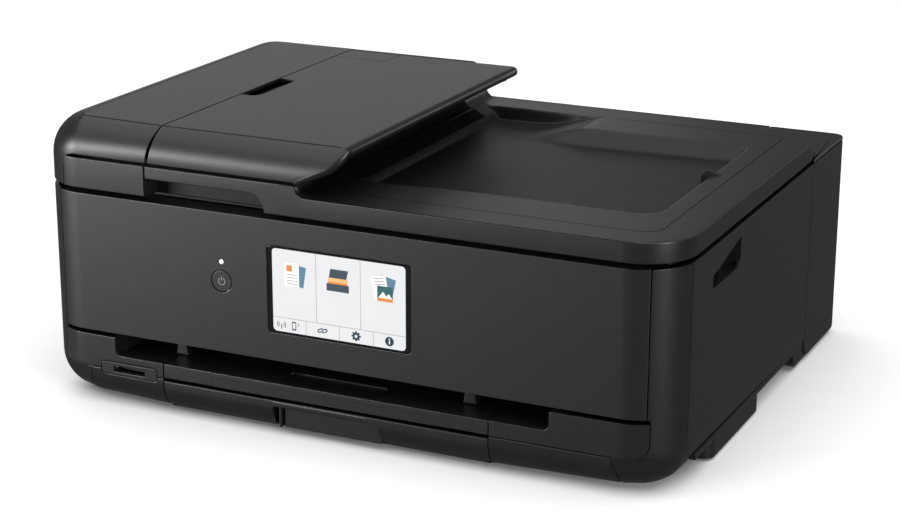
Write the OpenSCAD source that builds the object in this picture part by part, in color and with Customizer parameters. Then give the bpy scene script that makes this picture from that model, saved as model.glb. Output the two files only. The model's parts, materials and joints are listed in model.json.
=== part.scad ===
// Inkjet printer with a flatbed scanner and a sheet feeder.
// Millimetres. +Z is up, the front faces -Y, and the origin is the centre of the base on the floor.

/* [Body] */
// Overall width
body_w = 438; // [420:1:460]
// Overall depth
body_d = 351; // [340:1:370]
// Overall height, to the top of the sheet feeder
body_h = 190; // [186:1:200]
// Radius of the upright corners, seen from above
corner_r = 34; // [26:1:38]
// Radius of the lower left and right corners, seen from the front
low_corner_r = 28; // [20:1:32]
// Radius under the front edge, seen from the side
low_front_r = 18; // [10:1:22]
// Thickness of the outer covers
wall = 3; // [2.4:0.1:3.2]
// Gap between neighbouring covers
seam = 0.6; // [0.4:0.1:0.8]

/* [Levels] */
// Top of the case below the document cover
case_top = 142; // [138:0.5:143]
// Underside of the document cover
cover_z = 145.3; // [144.6:0.1:146]
// Top of the document cover
cover_top = 158; // [156:0.5:160]
// Rear edge of the document cover
cover_back = 121; // [118:0.5:122]
// Top of the rear corners and of the rear tray cover
rear_top = 144.9; // [144:0.1:145]

/* [Operation panel] */
// Half of the panel's width
panel_half = 201; // [196:1:203]
// Lower edge of the panel
panel_z = 50.2; // [49:0.1:52]
// Width of the display
display_w = 92; // [88:0.5:96]
// Height of the display
display_h = 54; // [50:0.5:56]
// Radius of the power button
button_r = 7; // [6:0.1:8]

/* [Paper path] */
// Half of the cassette's width
cassette_half = 114; // [112:1:116]
// Sideways place of the cassette's centre
cassette_x = -12; // [-14:1:-10]
// Top of the cassette, under the output tray
cassette_top = 25; // [24:0.5:26]
// Top of the output tray
tray_top = 35; // [34:0.5:36]

/* [Sheet feeder] */
// Seam between feeder cover and document tray, on top
feeder_seam_x = -127; // [-130:1:-124]
// Right edge of the document tray
tray_right = 4; // [2:1:6]
// Right side of the feeder's body
feeder_right = -33; // [-36:1:-30]
// Lower edge of the feeder's covers at the front
feeder_z = 166; // [164:0.5:168]

/* [Hidden] */
$fn = 64;

hw = body_w / 2;
front = -body_d / 2;
back = body_d / 2;
play = 0.3;                         // clearance between pieces that move past each other
column_y = -147.7;                  // seam between front column and side cover
side_z = 19.5;                      // lower edge of the side covers
rear_seam_y = 97;                   // seam between side cover and rear corner
rear_seam_x = 164.3;                // seam between rear corner and rear tray cover
low_seam_x = 181;                   // seam in the lower front, each side
cassette_l = cassette_x - cassette_half;
cassette_r = cassette_x + cassette_half;
slot_l = -162;                      // paper opening, left and right ends
slot_r = 141.5;
slot_top = 47.3;                    // top of the front blocks beside the paper opening
panel_back = -158;
display_x = 1.8;
display_z = 97.2;
button_x = -80.5;
led_z = 110;
frame_top = 143.9;                  // top of the scanner frame
frame_z = 112;                      // underside of the scanner frame
frame_front = -149;
frame_back = 117;
frame_half = 208;
hinge_y = 119;                      // hinge line shared by document cover and scanner
hinge_z = 147;
glass_half = 152;
glass_front = -120;
glass_back = 98;
shoulder_r = 29;                    // radii of the feeder's left, front and rear edges
front_r = 25;
rear_r = 33;
seam_r = 64.5;                      // the feeder seam curves on this radius down the front
seam_z = 160;
left_hinge_x = -213.5;              // hinge line of the feeder cover
left_hinge_z = 148;
tray_hinge_z = 184;                 // hinge line of the document tray, at x = 0
panel_hinge_y = -170;               // hinge line of the operation panel
panel_hinge_z = 138.5;
rear_hinge_y = 172;                 // hinge line of the rear tray cover
rear_hinge_z = 141.5;
support_hinge_y = 168;              // hinge line of the paper support
support_hinge_z = 136;
pin_fit = 0.05;                     // radial clearance of pins and shafts in their bores
rail_y = 36;
pulley_x = 186;
pulley_r = 4.8;
belt_y = 34.6;
motor_y = -3.6;                     // feed motor, its pinion meshes with the feed gear
motor_z = 58.2;
gear_r = 20;
tank_w = 15;
tank_top = 104;
roller_z = 43;
feed_y = 18;
eject_y = -58;
pickup_y = 70;

// A box between two corners
module slab(x0, x1, y0, y1, z0, z1) {
    translate([x0, y0, z0]) cube([x1 - x0, y1 - y0, z1 - z0]);
}

// A flat rectangle with one radius on its two lower corners and one on its two upper corners
module rounded(x0, x1, y0, y1, r_low, r_high) {
    difference() {
        translate([x0, y0]) square([x1 - x0, y1 - y0]);
        for (x = [x0, x1 - r_low]) translate([x, y0]) square(r_low);
        for (x = [x0, x1 - r_high]) translate([x, y1 - r_high]) square(r_high);
    }
    for (x = [x0 + r_low, x1 - r_low]) translate([x, y0 + r_low]) circle(r_low);
    for (x = [x0 + r_high, x1 - r_high]) translate([x, y1 - r_high]) circle(r_high);
}

// Extrudes a front-view outline (x, z) from y0 to y1
module along_y(y0, y1) {
    translate([0, y1, 0]) rotate([90, 0, 0]) linear_extrude(y1 - y0) children();
}

// Extrudes a side-view outline (y, z) from x0 to x1
module along_x(x0, x1) {
    translate([x0, 0, 0]) rotate([90, 0, 90]) linear_extrude(x1 - x0) children();
}

// A round bar along X or Y through a point
module bar_x(x0, x1, y, z, r) {
    translate([x0, y, z]) rotate([0, 90, 0]) cylinder(h = x1 - x0, r = r);
}
module bar_y(y0, y1, x, z, r) {
    translate([x, y1, z]) rotate([90, 0, 0]) cylinder(h = y1 - y0, r = r);
}

// The whole case as a solid, shrunk by inset; the lower edges are rounded
module case_solid(inset) {
    intersection() {
        translate([0, 0, 2 + inset]) linear_extrude(body_h)
            rounded(-hw + inset, hw - inset, front + inset, back - inset, corner_r - inset, 8 - inset);
        along_y(front - 1, back + 1)
            rounded(-hw + inset, hw - inset, 2 + inset, body_h, low_corner_r - inset, 1);
        along_x(-hw - 1, hw + 1)
            rounded(front + inset, back - inset, 2 + inset, body_h, low_front_r - inset, 1);
    }
}

// A piece of the case's outer wall inside a box
module case_wall(x0, x1, y0, y1, z0, z1) {
    difference() {
        intersection() {
            case_solid(0);
            slab(x0, x1, y0, y1, z0, z1);
        }
        case_solid(wall);
    }
}

// ---------- fixed case ----------

module base_tray() {
    color("#1c1c1e") {
        slab(-204, 204, column_y - seam / 2, 171.5, 1.2, 4);
        for (x = [-216.6, 203.6]) along_x(x, x + 13) polygon([[-147, 19], [-147, 14], [-112, 1.2], [-2, 1.2],
            [2, 9], [60, 9], [92, 1.2], [171.5, 1.2], [171.5, 19]]);
        slab(cassette_l - 4, cassette_l - 1, -146, 140, 4, 24);
        slab(cassette_r + 1, cassette_r + 4, -146, 140, 4, 24);
        slab(cassette_l - 1, cassette_r + 1, 137, 140, 4, 24);
    }
}

module rubber_feet() {
    color("#101010") for (x = [-190, 190]) for (y = [-120, 150])
        translate([x, y, 0]) cylinder(h = 1.2, r = 9);
}

module front_frame() {
    color("#202022") {
        for (s = [-1, 1]) {
            outer = s * (hw + 1);
            inner = s * (panel_half + seam / 2);
            low = s * (low_seam_x + seam / 2);
            case_wall(min(outer, inner), max(outer, inner), front - 1, column_y - seam / 2,
                cassette_top - 1, case_top);
            case_wall(min(outer, low), max(outer, low), front - 1, column_y - seam / 2, 2,
                cassette_top - seam);
        }
        slab(-low_seam_x - 3, low_seam_x + 3, -159, column_y - seam / 2, 2, 4);
        slab(-214, 214, -156, -153, 118, 140.6);
        for (x = [-150, 150]) difference() {
            union() {
                slab(x - 2.5, x + 2.5, panel_hinge_y, -153, panel_hinge_z - 2.2, panel_hinge_z + 2.1);
                bar_x(x - 2.5, x + 2.5, panel_hinge_y, panel_hinge_z, 2.2);
            }
            bar_x(x - 4, x + 4, panel_hinge_y, panel_hinge_z, 1.2 + pin_fit);
        }
    }
}

module left_side_cover() {
    color("#232325")
        case_wall(-hw - 1, 0, column_y + seam / 2, rear_seam_y - seam / 2, side_z, case_top);
}

// The grip for lifting the scanner is a scooped pocket under the top edge
module right_side_cover() {
    color("#232325") {
        difference() {
            case_wall(0, hw + 1, column_y + seam / 2, rear_seam_y - seam / 2, side_z, case_top);
            slab(hw - 20, hw + 1, -112, -60, 115, 134);
        }
        difference() {
            slab(hw - 10.4, hw - wall + 0.2, -115, -57, 112, 137);
            slab(hw - 9, hw, -112, -60, 115, 134);
        }
    }
}

module card_slot_block() {
    color("#1e1e20") {
        difference() {
            union() {
                case_wall(-panel_half + seam / 2, slot_l, front - 1, -150, cassette_top, slot_top);
                case_wall(slot_l - 1, cassette_l - seam / 2, front - 1, -150, cassette_top - 1, tray_top);
                case_wall(-low_seam_x + seam / 2, cassette_l - seam / 2, front - 1, -150, 5.4,
                    cassette_top + 1);
                slab(-174, -131, front + wall - 0.2, -128, 18, 33.5);
            }
            slab(-163.8, -140.3, front - 1, -132, 23.5, 28.1);
        }
    }
}

module right_front_block() {
    color("#1e1e20") {
        case_wall(slot_r, panel_half - seam / 2, front - 1, -150, cassette_top, slot_top);
        case_wall(cassette_r + seam / 2, slot_r + 1, front - 1, -150, cassette_top, tray_top);
    }
}

module lower_front_cover() {
    color("#1e1e20")
        case_wall(cassette_r + seam / 2, low_seam_x - seam / 2, front - 1, -150, 5.4, cassette_top - seam);
}

// A rear corner is closed on top behind the scanner, and holds a pin of the rear tray cover
module rear_corner(side) {
    x0 = side > 0 ? rear_seam_x : -hw - 1;
    x1 = side > 0 ? hw + 1 : -rear_seam_x;
    difference() {
        intersection() {
            case_solid(0);
            slab(x0, x1, rear_seam_y + seam / 2, back + 1, 1.5, rear_top);
        }
        intersection() {
            case_solid(wall);
            slab(x0 - 1, x1 + 1, rear_seam_y - 1, back, 1, 138.6);
        }
        intersection() {
            case_solid(wall);
            slab(x0 - 1, x1 + 1, rear_seam_y - 1, cover_back + 1, 1, 200);
        }
        slab(-hw - 1, hw + 1, rear_seam_y - 1, 171.8, 1, 19.3);
        translate([0, 0, case_top]) linear_extrude(10)
            rounded(-hw - 1, hw + 1, front, cover_back + 1, corner_r, corner_r + 1);
        bar_x(-rear_seam_x - 4, rear_seam_x + 4, rear_hinge_y, rear_hinge_z, 1.5 + pin_fit);
    }
}
module rear_left_corner() { color("#232325") rear_corner(-1); }
module rear_right_corner() { color("#232325") rear_corner(1); }

module rear_panel() {
    color("#1c1c1e") difference() {
        slab(-rear_seam_x + seam, rear_seam_x - seam, back - wall, back, 2, 136.2);
        slab(104, 132, back - wall - 1, back + 1, 22, 46);
        slab(-150, -86, back - wall - 1, back + 1, 24, 44);
    }
}

// ---------- inside the base ----------

module chassis_frame() {
    color("#9a9c9e") {
        slab(-196, 196, 42, 44, 40, 108);
        for (x = [-196, 194]) difference() {
            slab(x, x + 2, -70, 43, 26, 108);
            bar_x(x - 1, x + 3, feed_y, roller_z, 4 + pin_fit);
            bar_x(x - 1, x + 3, eject_y, roller_z, 3 + pin_fit);
        }
        for (x = [-161.5, 157.5]) difference() {
            union() {
                slab(x, x + 4, 43, hinge_y + 2.4, 98, 107.5);
                slab(x, x + 4, hinge_y - 1, hinge_y + 2.4, 98, hinge_z);
                bar_x(x, x + 4, hinge_y, hinge_z, 2.6);
            }
            bar_x(x - 1, x + 5, hinge_y, hinge_z, 1.2 + pin_fit);
        }
    }
}

module carriage_rail() {
    color("#b0b2b4") bar_x(-193.9, 193.9, rail_y, 62, 5);
}

module platen() {
    color("#151516") {
        slab(-118, 118, -48, 6, 42, 46);
        for (x = [-100 : 20 : 100]) slab(x - 1, x + 1, -46, 4, 46, 48);
    }
}

// The sheets of the rear tray slide down this bed; its ears hold the paper support
module rear_paper_bed() {
    color("#1a1a1b") {
        along_x(-112, 112) polygon([[150, 60], [170, 100], [170, 126], [166, 126], [146, 62], [146, 60]]);
        for (x = [-108, 104]) difference() {
            union() {
                slab(x, x + 4, support_hinge_y - 2, support_hinge_y + 2, 120, support_hinge_z);
                bar_x(x, x + 4, support_hinge_y, support_hinge_z, 2);
            }
            bar_x(x - 1, x + 5, support_hinge_y, support_hinge_z, 1.2 + pin_fit);
        }
    }
}

module power_supply() {
    color("#2b2b2c") slab(112, 190, 60, 150, 5, 38);
}

module power_inlet() {
    color("#111112") difference() {
        slab(105, 131, 153, back - 0.4, 23, 45);
        slab(108, 128, back - 14, back, 26, 42);
        for (x = [-1, 1]) bar_y(back - 20, back, 118 + x * 5, 34, 1.4);
    }
}

module rear_ports() {
    color("#77797b") {
        slab(-148, -132, 158, back - 1, 26, 42);
        slab(-126, -110, 158, back - 1, 26, 42);
        slab(-104, -90, 158, back - 1, 27, 39);
        slab(-150, -88, 156, 158, 24, 44);
    }
}

module main_board() {
    color("#1f5a3a") slab(-190, -134, 50, 150, 27, 29);
}

module purge_unit() {
    color("#2a2a2c") {
        slab(124, 188, -46, 6, 26, 50);
        for (x = [130, 148]) slab(x, x + 14, -34, -6, 50, 53.5);
    }
}

module feed_motor() {
    color("#8d8f91") {
        bar_x(-193.6, -164, motor_y, motor_z, 12);
        bar_x(-165, -154.5, motor_y, motor_z, 6);
    }
}

module carriage_motor() {
    color("#8d8f91") {
        translate([-pulley_x, belt_y, 92.6]) cylinder(h = 14, r = 7);
        translate([-pulley_x, belt_y, 86]) cylinder(h = 7, r = pulley_r);
    }
}

module belt_idler() {
    color("#4a4a4c") translate([pulley_x, belt_y, 86]) cylinder(h = 6, r = pulley_r);
}

// The toothed belt runs round both pulleys and pulls the print carriage
module carriage_belt() {
    color("#0e0e0e") translate([0, 0, 86]) linear_extrude(6) difference() {
        belt_loop(pulley_r + 1.3);
        belt_loop(pulley_r + 0.1);
    }
}
module belt_loop(r) {
    for (x = [-pulley_x, pulley_x]) translate([x, belt_y]) circle(r);
    translate([-pulley_x, belt_y - r]) square([2 * pulley_x, 2 * r]);
}

// ---------- operation panel ----------

module panel_cover() {
    color("#232325") difference() {
        intersection() {
            linear_extrude(body_h) rounded(-hw, hw, front, back, corner_r, 8);
            slab(-panel_half + seam / 2, panel_half - seam / 2, front - 1, panel_back, panel_z, case_top);
        }
        intersection() {
            linear_extrude(body_h)
                rounded(-hw + wall, hw - wall, front + wall, back, corner_r - wall, 8);
            slab(-panel_half + 3, panel_half - 3, front, -150, panel_z + 2.5, case_top - 2.5);
        }
        for (x = [-150, 150]) slab(x - 3, x + 3, front + wall, -150, 130, case_top + 1);
        slab(display_x - display_w / 2 - 3.4, display_x + display_w / 2 + 3.4, front - 1, front + 8,
            display_z - display_h / 2 - 1.2, display_z + display_h / 2 + 1.2);
        bar_y(front - 1, front + 8, button_x, display_z, button_r + play);
        bar_y(front - 1, front + 8, button_x, led_z, 1.6);
    }
    color("#232325") for (x = [-150, 150]) {
        bar_x(x - 5, x + 5, panel_hinge_y, panel_hinge_z, 1.2);
        for (ear = [x - 6, x + 3])
            slab(ear, ear + 3, front + wall - 0.2, panel_hinge_y + 2.5, panel_hinge_z - 2.5, case_top - 2);
    }
}

module display_module() {
    color("#111113") slab(display_x - display_w / 2 - 3, display_x + display_w / 2 + 3,
        front + 2.6, front + 10, display_z - display_h / 2 - 0.9, display_z + display_h / 2 + 0.9);
}

module display_glass() {
    color("#e8ecef") slab(display_x - display_w / 2 - 3, display_x + display_w / 2 + 3,
        front + 0.8, front + 2.3, display_z - display_h / 2 - 0.9, display_z + display_h / 2 + 0.9);
}

module status_led() {
    color("white") bar_y(front + 0.1, front + 4, button_x, led_z, 1.3);
}

module power_button() {
    color("#1b1b1d") {
        bar_y(front + 0.2, front + 7, button_x, display_z, button_r);
        bar_y(front + 7, front + 9, button_x, display_z, 3);
    }
}

// ---------- print carriage, parked at the right ----------

module print_carriage() {
    color("#2a2a2c") difference() {
        slab(96, 190, -44, 27.5, 58, 84);
        slab(99, 187, -41, 20, 62, 90);
    }
    color("#2a2a2c") slab(138, 148, 20, 28.2, 71, 92);
    color("#2a2a2c") difference() {
        slab(104, 182, 27.5, 42 - play, 54, 71);
        bar_x(90, 200, rail_y, 62, 5.06);
    }
}

module print_head() {
    color("#3b3b3d") slab(102, 184, -34, 10, 54, 57.8);
}

module ink_tank(x, w) {
    slab(x, x + w, -39, 18, 62.3, tank_top);
}
module wide_ink_tank() { color("#18181a") ink_tank(100, 19.5); }
module black_ink_tank() { color("#202022") ink_tank(120.5, tank_w); }
module cyan_ink_tank() { color("#1b8fc4") ink_tank(136.5, tank_w); }
module magenta_ink_tank() { color("#c43277") ink_tank(152.5, tank_w); }
module yellow_ink_tank() { color("#d9c02c") ink_tank(168.5, tank_w); }

// ---------- scanner ----------

module scanner_frame() {
    color("#1a1a1c") {
        difference() {
            slab(-frame_half, frame_half, frame_front, frame_back, frame_z, frame_top);
            slab(-frame_half + 3, frame_half - 3, frame_front + 3, frame_back - 3, frame_z + 2.5, 141.3);
            slab(-glass_half - 0.2, glass_half + 0.2, glass_front - 0.2, glass_back + 0.2, 141, 150);
            slab(-190.2, -163.8, glass_front - 0.2, glass_back + 0.2, 141, 150);
        }
        slab(-frame_half, frame_half, -158, frame_front, case_top + 0.5, frame_top);
        for (s = [0, 1]) mirror([s, 0, 0]) {
            difference() {
                union() {
                    slab(144, 156, hinge_y - 2.6, hinge_y + 2, frame_z + 10, hinge_z);
                    bar_x(144, 156, hinge_y, hinge_z, 2.6);
                }
                bar_x(143, 151, hinge_y, hinge_z, 1.2 + pin_fit);
            }
            bar_x(155, 162.4, hinge_y, hinge_z, 1.2);
        }
    }
}

module platen_glass() {
    color("#9fb4b8") slab(-glass_half, glass_half, glass_front, glass_back, 141.5, frame_top);
}

module feeder_glass() {
    color("#9fb4b8") slab(-190, -164, glass_front, glass_back, 141.5, frame_top);
}

module scan_rail() {
    color("#b0b2b4") bar_x(-204.9, 204.9, -10, 121, 4);
}

module scan_carriage() {
    color("#262628") difference() {
        union() {
            slab(-190, -170, -114, 92, 128, 140.6);
            slab(-194, -166, -20, 0, 115.5, 128);
        }
        bar_x(-200, -160, -10, 121, 4.06);
    }
}

// ---------- document cover and sheet feeder ----------

// Plan outline of the document cover, shrunk by inset
module cover_plan(inset) {
    rounded(-hw + inset, hw - inset, front + inset, cover_back - inset, corner_r - inset, corner_r - inset);
}

// The sheet feeder as a solid, shrunk by inset: rounded along the left, the front and the rear
module feeder_solid(inset) {
    intersection() {
        linear_extrude(body_h) cover_plan(inset);
        along_y(front - 1, back)
            rounded(-hw + inset, 200, 60, body_h - inset, 1, shoulder_r - inset);
        along_x(-hw - 1, hw)
            rounded(front + inset, 200, 60, body_h - inset, 1, front_r - inset);
        along_x(-hw - 1, hw)
            rounded(-300, cover_back - inset, 60, body_h - inset, 1, rear_r - inset);
    }
}

// Everything right of the curved seam between feeder cover and document tray, grown by gap
module tray_side(gap) {
    along_y(front - 2, back) {
        translate([feeder_seam_x + 57.1, seam_z]) circle(seam_r + gap, $fn = 128);
        translate([feeder_seam_x + 57.1, 100]) square([200, 100]);
    }
}

module document_cover() {
    color("#232325") difference() {
        union() {
            translate([0, 0, cover_z]) linear_extrude(cover_top - cover_z) intersection() {
                cover_plan(0);
                translate([-197.4, front - 1]) square([hw + 198, 400]);
            }
            translate([0, 0, cover_z]) linear_extrude(feeder_z - seam - cover_z) intersection() {
                cover_plan(wall + 0.3);
                translate([-204, front - 1]) square([204 + feeder_right, 400]);
            }
            translate([0, 0, cover_z]) linear_extrude(feeder_z - seam - cover_z) intersection() {
                cover_plan(0);
                translate([-197.4, front - 1]) square([197.4 - 28, 12]);
            }
        }
        slab(-205, -60, -160, 108, 149, 170);
        translate([0, 0, 150.5]) linear_extrude(20) rounded(feeder_right, 185, -117, 58, 12, 12);
        slab(feeder_right, 60, -60, 98, 150.5, 170);
        along_y(front - 1, -160) {
            translate([-134.4, cover_z - 1]) square([78, 12.7]);
            translate([-57, 145.3]) circle(11.7);
            translate([-134.4, cover_z - 1]) square([89.1, 1.4]);
        }
        for (s = [0, 1]) mirror([s, 0, 0])
            slab(143.5, 163, hinge_y - 3.5, hinge_y + 5, cover_z - 1, hinge_z + 3.5);
    }
    color("#232325") {
        for (s = [0, 1]) mirror([s, 0, 0]) bar_x(142.5, 150, hinge_y, hinge_z, 1.2);
        for (y = [-110, 60]) difference() {
            union() {
                slab(left_hinge_x, -203, y, y + 6, left_hinge_z - 1.6, left_hinge_z + 1.6);
                bar_y(y, y + 6, left_hinge_x, left_hinge_z, 2.4);
            }
            bar_y(y - 1, y + 7, left_hinge_x, left_hinge_z, 1.2 + pin_fit);
        }
    }
}

module pressure_pad() {
    color("#e9e9e6") slab(-150, 150, -118, 96, frame_top + play, cover_z);
}

module feeder_base() {
    color("#1d1d1f") {
        translate([0, 0, feeder_z - seam]) linear_extrude(169 - feeder_z + seam) intersection() {
            cover_plan(5);
            translate([-209, -168]) square([209 + feeder_right, 168 + 88]);
        }
        intersection() {
            feeder_solid(0);
            slab(feeder_seam_x + seam, feeder_right, 87, cover_back + 1, feeder_z - seam, body_h + 1);
            union() {
                slab(-hw, 0, 88 + seam, cover_back + 1, 0, body_h + 1);
                slab(-hw, 0, 80, cover_back + 1, 0, body_h - 4.6);
            }
        }
        for (y = [-156, 74]) difference() {
            union() {
                slab(feeder_right - 4, 0, y, y + 4, tray_hinge_z - 2.2, tray_hinge_z + 2.2);
                slab(feeder_right - 3.5, feeder_right - 0.3, y, y + 4, 175, tray_hinge_z + 2.2);
                bar_y(y, y + 4, 0, tray_hinge_z, 2.6);
            }
            bar_y(y - 1, y + 5, 0, tray_hinge_z, 1.4 + pin_fit);
        }
        slab(-120, feeder_right - 0.3, -165, 80, 169, 176);
        slab(feeder_right - 3.5, feeder_right - 0.3, -165, 80, 176, 180);
        for (y = [-128, 62]) difference() {
            slab(-158, -138, y, y + 6, 169, 183);
            bar_y(y - 1, y + 7, -148, 177.5, 2.5 + pin_fit);
        }
    }
}

module feeder_roller() {
    color("#3c3c3e") {
        bar_y(-130, 70, -148, 177.5, 2.5);
        bar_y(-70, 10, -148, 177.5, 7.5);
    }
}

module feeder_cover() {
    color("#252527") difference() {
        intersection() {
            feeder_solid(0);
            union() {
                slab(-hw - 1, -100, front - 1, cover_back + 1, feeder_z, body_h + 1);
                slab(-hw - 1, -198, front - 1, cover_back + 1, cover_z + 0.5, body_h + 1);
            }
        }
        feeder_solid(2.6);
        tray_side(seam);
    }
    color("#252527") for (y = [-110, 60]) {
        bar_y(y - 3, y + 9, left_hinge_x, left_hinge_z, 1.2);
        for (ear = [y - 3.5, y + 6.5])
            slab(-hw + 2, left_hinge_x + 1.6, ear, ear + 3, left_hinge_z - 1.6, left_hinge_z + 1.6);
    }
}

// The document tray closes the feeder; its right edge is a thick lip that carries the hinge pins
module document_tray() {
    color("#252527") {
        difference() {
            intersection() {
                feeder_solid(0);
                tray_side(0);
                slab(-140, tray_right, front - 1, 88, 150, body_h + 1);
                along_y(front - 1, back) polygon([[-140, feeder_z], [-28, feeder_z], [-2.4, 180],
                    [tray_right, 186], [tray_right, 195], [-140, 195]]);
            }
            difference() {
                feeder_solid(2.6);
                slab(-4, tray_right, front, 88, tray_hinge_z - 2.4, body_h);
            }
            slab(-140, -113.5, -69, -16, body_h - 5, body_h + 1);
            for (y = [-156, 74]) slab(-5, tray_right + 1, y - 0.4, y + 4.4, 170, body_h - 2.9);
        }
        for (y = [-158.4, 71.6]) bar_y(y, y + 8.8, 0, tray_hinge_z, 1.4);
    }
}

module document_guide(y) {
    slab(-110, -42, y, y + 3, 176.3, 184);
    slab(-100, -60, y - 6, y + 9, 176.3, 178);
}
module front_document_guide() { color("#2a2a2c") document_guide(-134); }
module rear_document_guide() { color("#2a2a2c") document_guide(66); }

// ---------- trays ----------

module output_tray() {
    color("#202022") difference() {
        union() {
            slab(cassette_l + play, cassette_r - play, front, -62, tray_top - 3, tray_top);
            slab(cassette_l + play, cassette_r - play, front, front + 3, cassette_top + 0.6, tray_top);
        }
        slab(-44, 24, front + 3, -153, tray_top - 1.4, tray_top + 1);
        slab(-90, 66, front - 1, front + 4, cassette_top, tray_top - 3);
    }
}

// The extension slides out through the mouth under the output tray's front edge
module tray_extension() {
    color("#1d1d1f") {
        slab(-89.7, 65.7, front, front + 2.9, cassette_top + 0.6, tray_top - 3.3);
        slab(-89.7, 65.7, front, -80, tray_top - 6.4, tray_top - 3.3);
    }
}

module cassette() {
    color("#1e1e20") {
        difference() {
            slab(cassette_l + 1.5, cassette_r - 1.5, -168, 132, 4.4, cassette_top - 1.2);
            slab(cassette_l + 4, cassette_r - 4, -156, 129, 6.4, cassette_top);
            slab(-46, 28, front - 1, -161, 9, 19.7);
        }
        difference() {
            intersection() {
                case_solid(0);
                slab(cassette_l + seam / 2, cassette_r - seam / 2, front - 1, -159.6, 2, cassette_top);
            }
            slab(-46, 28, front - 1, -161, 9, 19.7);
        }
        slab(-48, 30, -163, -158, 6.5, 23);
    }
}

module cassette_guide(x) {
    slab(x, x + 2.5, -60, 60, 6.7, cassette_top - 1.6);
}
module left_cassette_guide() { color("#3a3a3c") cassette_guide(-119.5); }
module right_cassette_guide() { color("#3a3a3c") cassette_guide(93); }

// ---------- rollers ----------

// A shaft along X with evenly spaced rubber tyres
module tyred_shaft(x0, x1, y, z, r_shaft, r_tyre, tyres, tyre_w) {
    bar_x(x0, x1, y, z, r_shaft);
    step = (x1 - x0 - 20 - tyre_w) / max(tyres - 1, 1);
    for (i = [0 : tyres - 1]) bar_x(x0 + 10 + i * step, x0 + 10 + i * step + tyre_w, y, z, r_tyre);
}
module feed_roller() {
    color("#4a4a4c") tyred_shaft(-122, 122, feed_y, roller_z, 4, 6, 7, 22);
    color("#4a4a4c") bar_x(-195.4, 195.4, feed_y, roller_z, 4);
}
module feed_gear() {
    color("#c9c9c4") difference() {
        bar_x(-159, -155, feed_y, roller_z, gear_r);
        bar_x(-160, -154, feed_y, roller_z, 4.02);
    }
}
module eject_roller() {
    color("#4a4a4c") tyred_shaft(-122, 122, eject_y, roller_z, 3, 5.5, 7, 10);
    color("#4a4a4c") bar_x(-195.4, 195.4, eject_y, roller_z, 3);
}
module pickup_roller() {
    color("#3c3c3e") tyred_shaft(-46, 22, pickup_y, 37, 3, 11, 2, 16);
}

// ---------- rear tray ----------

module rear_tray_cover() {
    color("#232325") {
        difference() {
            intersection() {
                case_solid(0);
                slab(-rear_seam_x + seam, rear_seam_x - seam, cover_back + 1.6, back + 1, 140.2, rear_top);
            }
            slab(-hw, hw, cover_back, back - wall, 100, rear_top - 3.4);
        }
        for (s = [-1, 1]) bar_x(s * (rear_seam_x + 1) - 2, s * (rear_seam_x + 1) + 2, rear_hinge_y,
            rear_hinge_z, 1.5);
    }
}

// The paper support lies folded under the rear tray cover and rises with it
module paper_support() {
    color("#1d1d1f") {
        slab(-100, 100, 125, support_hinge_y, 134.6, 137.4);
        bar_x(-107, 107, support_hinge_y, support_hinge_z, 1.2);
    }
}

base_tray();
rubber_feet();
front_frame();
left_side_cover();
right_side_cover();
card_slot_block();
right_front_block();
lower_front_cover();
rear_left_corner();
rear_right_corner();
rear_panel();
chassis_frame();
carriage_rail();
platen();
rear_paper_bed();
power_supply();
power_inlet();
rear_ports();
main_board();
purge_unit();
feed_motor();
carriage_motor();
carriage_belt();
belt_idler();
panel_cover();
display_module();
display_glass();
status_led();
power_button();
print_carriage();
print_head();
wide_ink_tank();
black_ink_tank();
cyan_ink_tank();
magenta_ink_tank();
yellow_ink_tank();
scanner_frame();
platen_glass();
feeder_glass();
scan_rail();
scan_carriage();
document_cover();
pressure_pad();
feeder_base();
feeder_cover();
document_tray();
front_document_guide();
rear_document_guide();
feeder_roller();
output_tray();
tray_extension();
cassette();
left_cassette_guide();
right_cassette_guide();
feed_roller();
feed_gear();
eject_roller();
pickup_roller();
rear_tray_cover();
paper_support();
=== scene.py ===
"""The looks of an inkjet printer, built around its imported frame.

Lengths in this script are millimetres; place() turns them into metres. +X is right, the front faces -Y.
"""

import json
import math

import bmesh
import bpy
from mathutils import Matrix, Vector


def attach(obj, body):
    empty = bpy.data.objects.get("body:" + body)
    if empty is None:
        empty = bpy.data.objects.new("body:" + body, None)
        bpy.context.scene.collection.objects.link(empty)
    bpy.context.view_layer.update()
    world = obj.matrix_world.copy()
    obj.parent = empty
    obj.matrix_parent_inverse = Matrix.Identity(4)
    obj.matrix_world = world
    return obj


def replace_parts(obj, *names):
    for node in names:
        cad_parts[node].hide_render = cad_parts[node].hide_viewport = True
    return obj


MM = 0.001

# ---------- driving dimensions ----------

HALF_W = 219.0              # half of the body's width
FRONT = -175.5              # front face
BACK = 175.5                # rear face
CORNER = 34.0               # radius of the upright front corners and the document cover's rear ones
REAR_CORNER = 8.0           # radius of the case's rear corners
STRAIGHT = HALF_W - CORNER  # half of the front's flat part
FLOOR_Z = 2.0               # lowest point of the curve under the covers
CASE_TOP = 142.0            # top of the case
COVER_Z = 145.3             # underside of the document cover
COVER_TOP = 158.0           # top of the document cover
COVER_BACK = 121.0          # rear edge of the document cover
TOP = 190.0                 # top of the sheet feeder
PANEL_EDGE = 201.2          # side seams of the operation panel
PANEL_Z = 50.2              # lower edge of the operation panel
SIDE_Z = 17.3               # lower edge of the side covers
COLUMN_Y = -147.7           # seam between front column and side cover
REAR_Y = 95.5               # seam between side cover and rear corner
REAR_X = 164.3              # where the rear corners end on the back
CASSETTE_L = -126.0         # sides of the room for cassette and output tray
CASSETTE_R = 102.5
SLOT_L, SLOT_R = -162.0, 141.5  # sides of the paper opening
SLOT_Z = 35.2               # floor of the paper opening, top of the output tray
BLOCK_EDGE = 203.0          # outer ends of the front blocks
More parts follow.
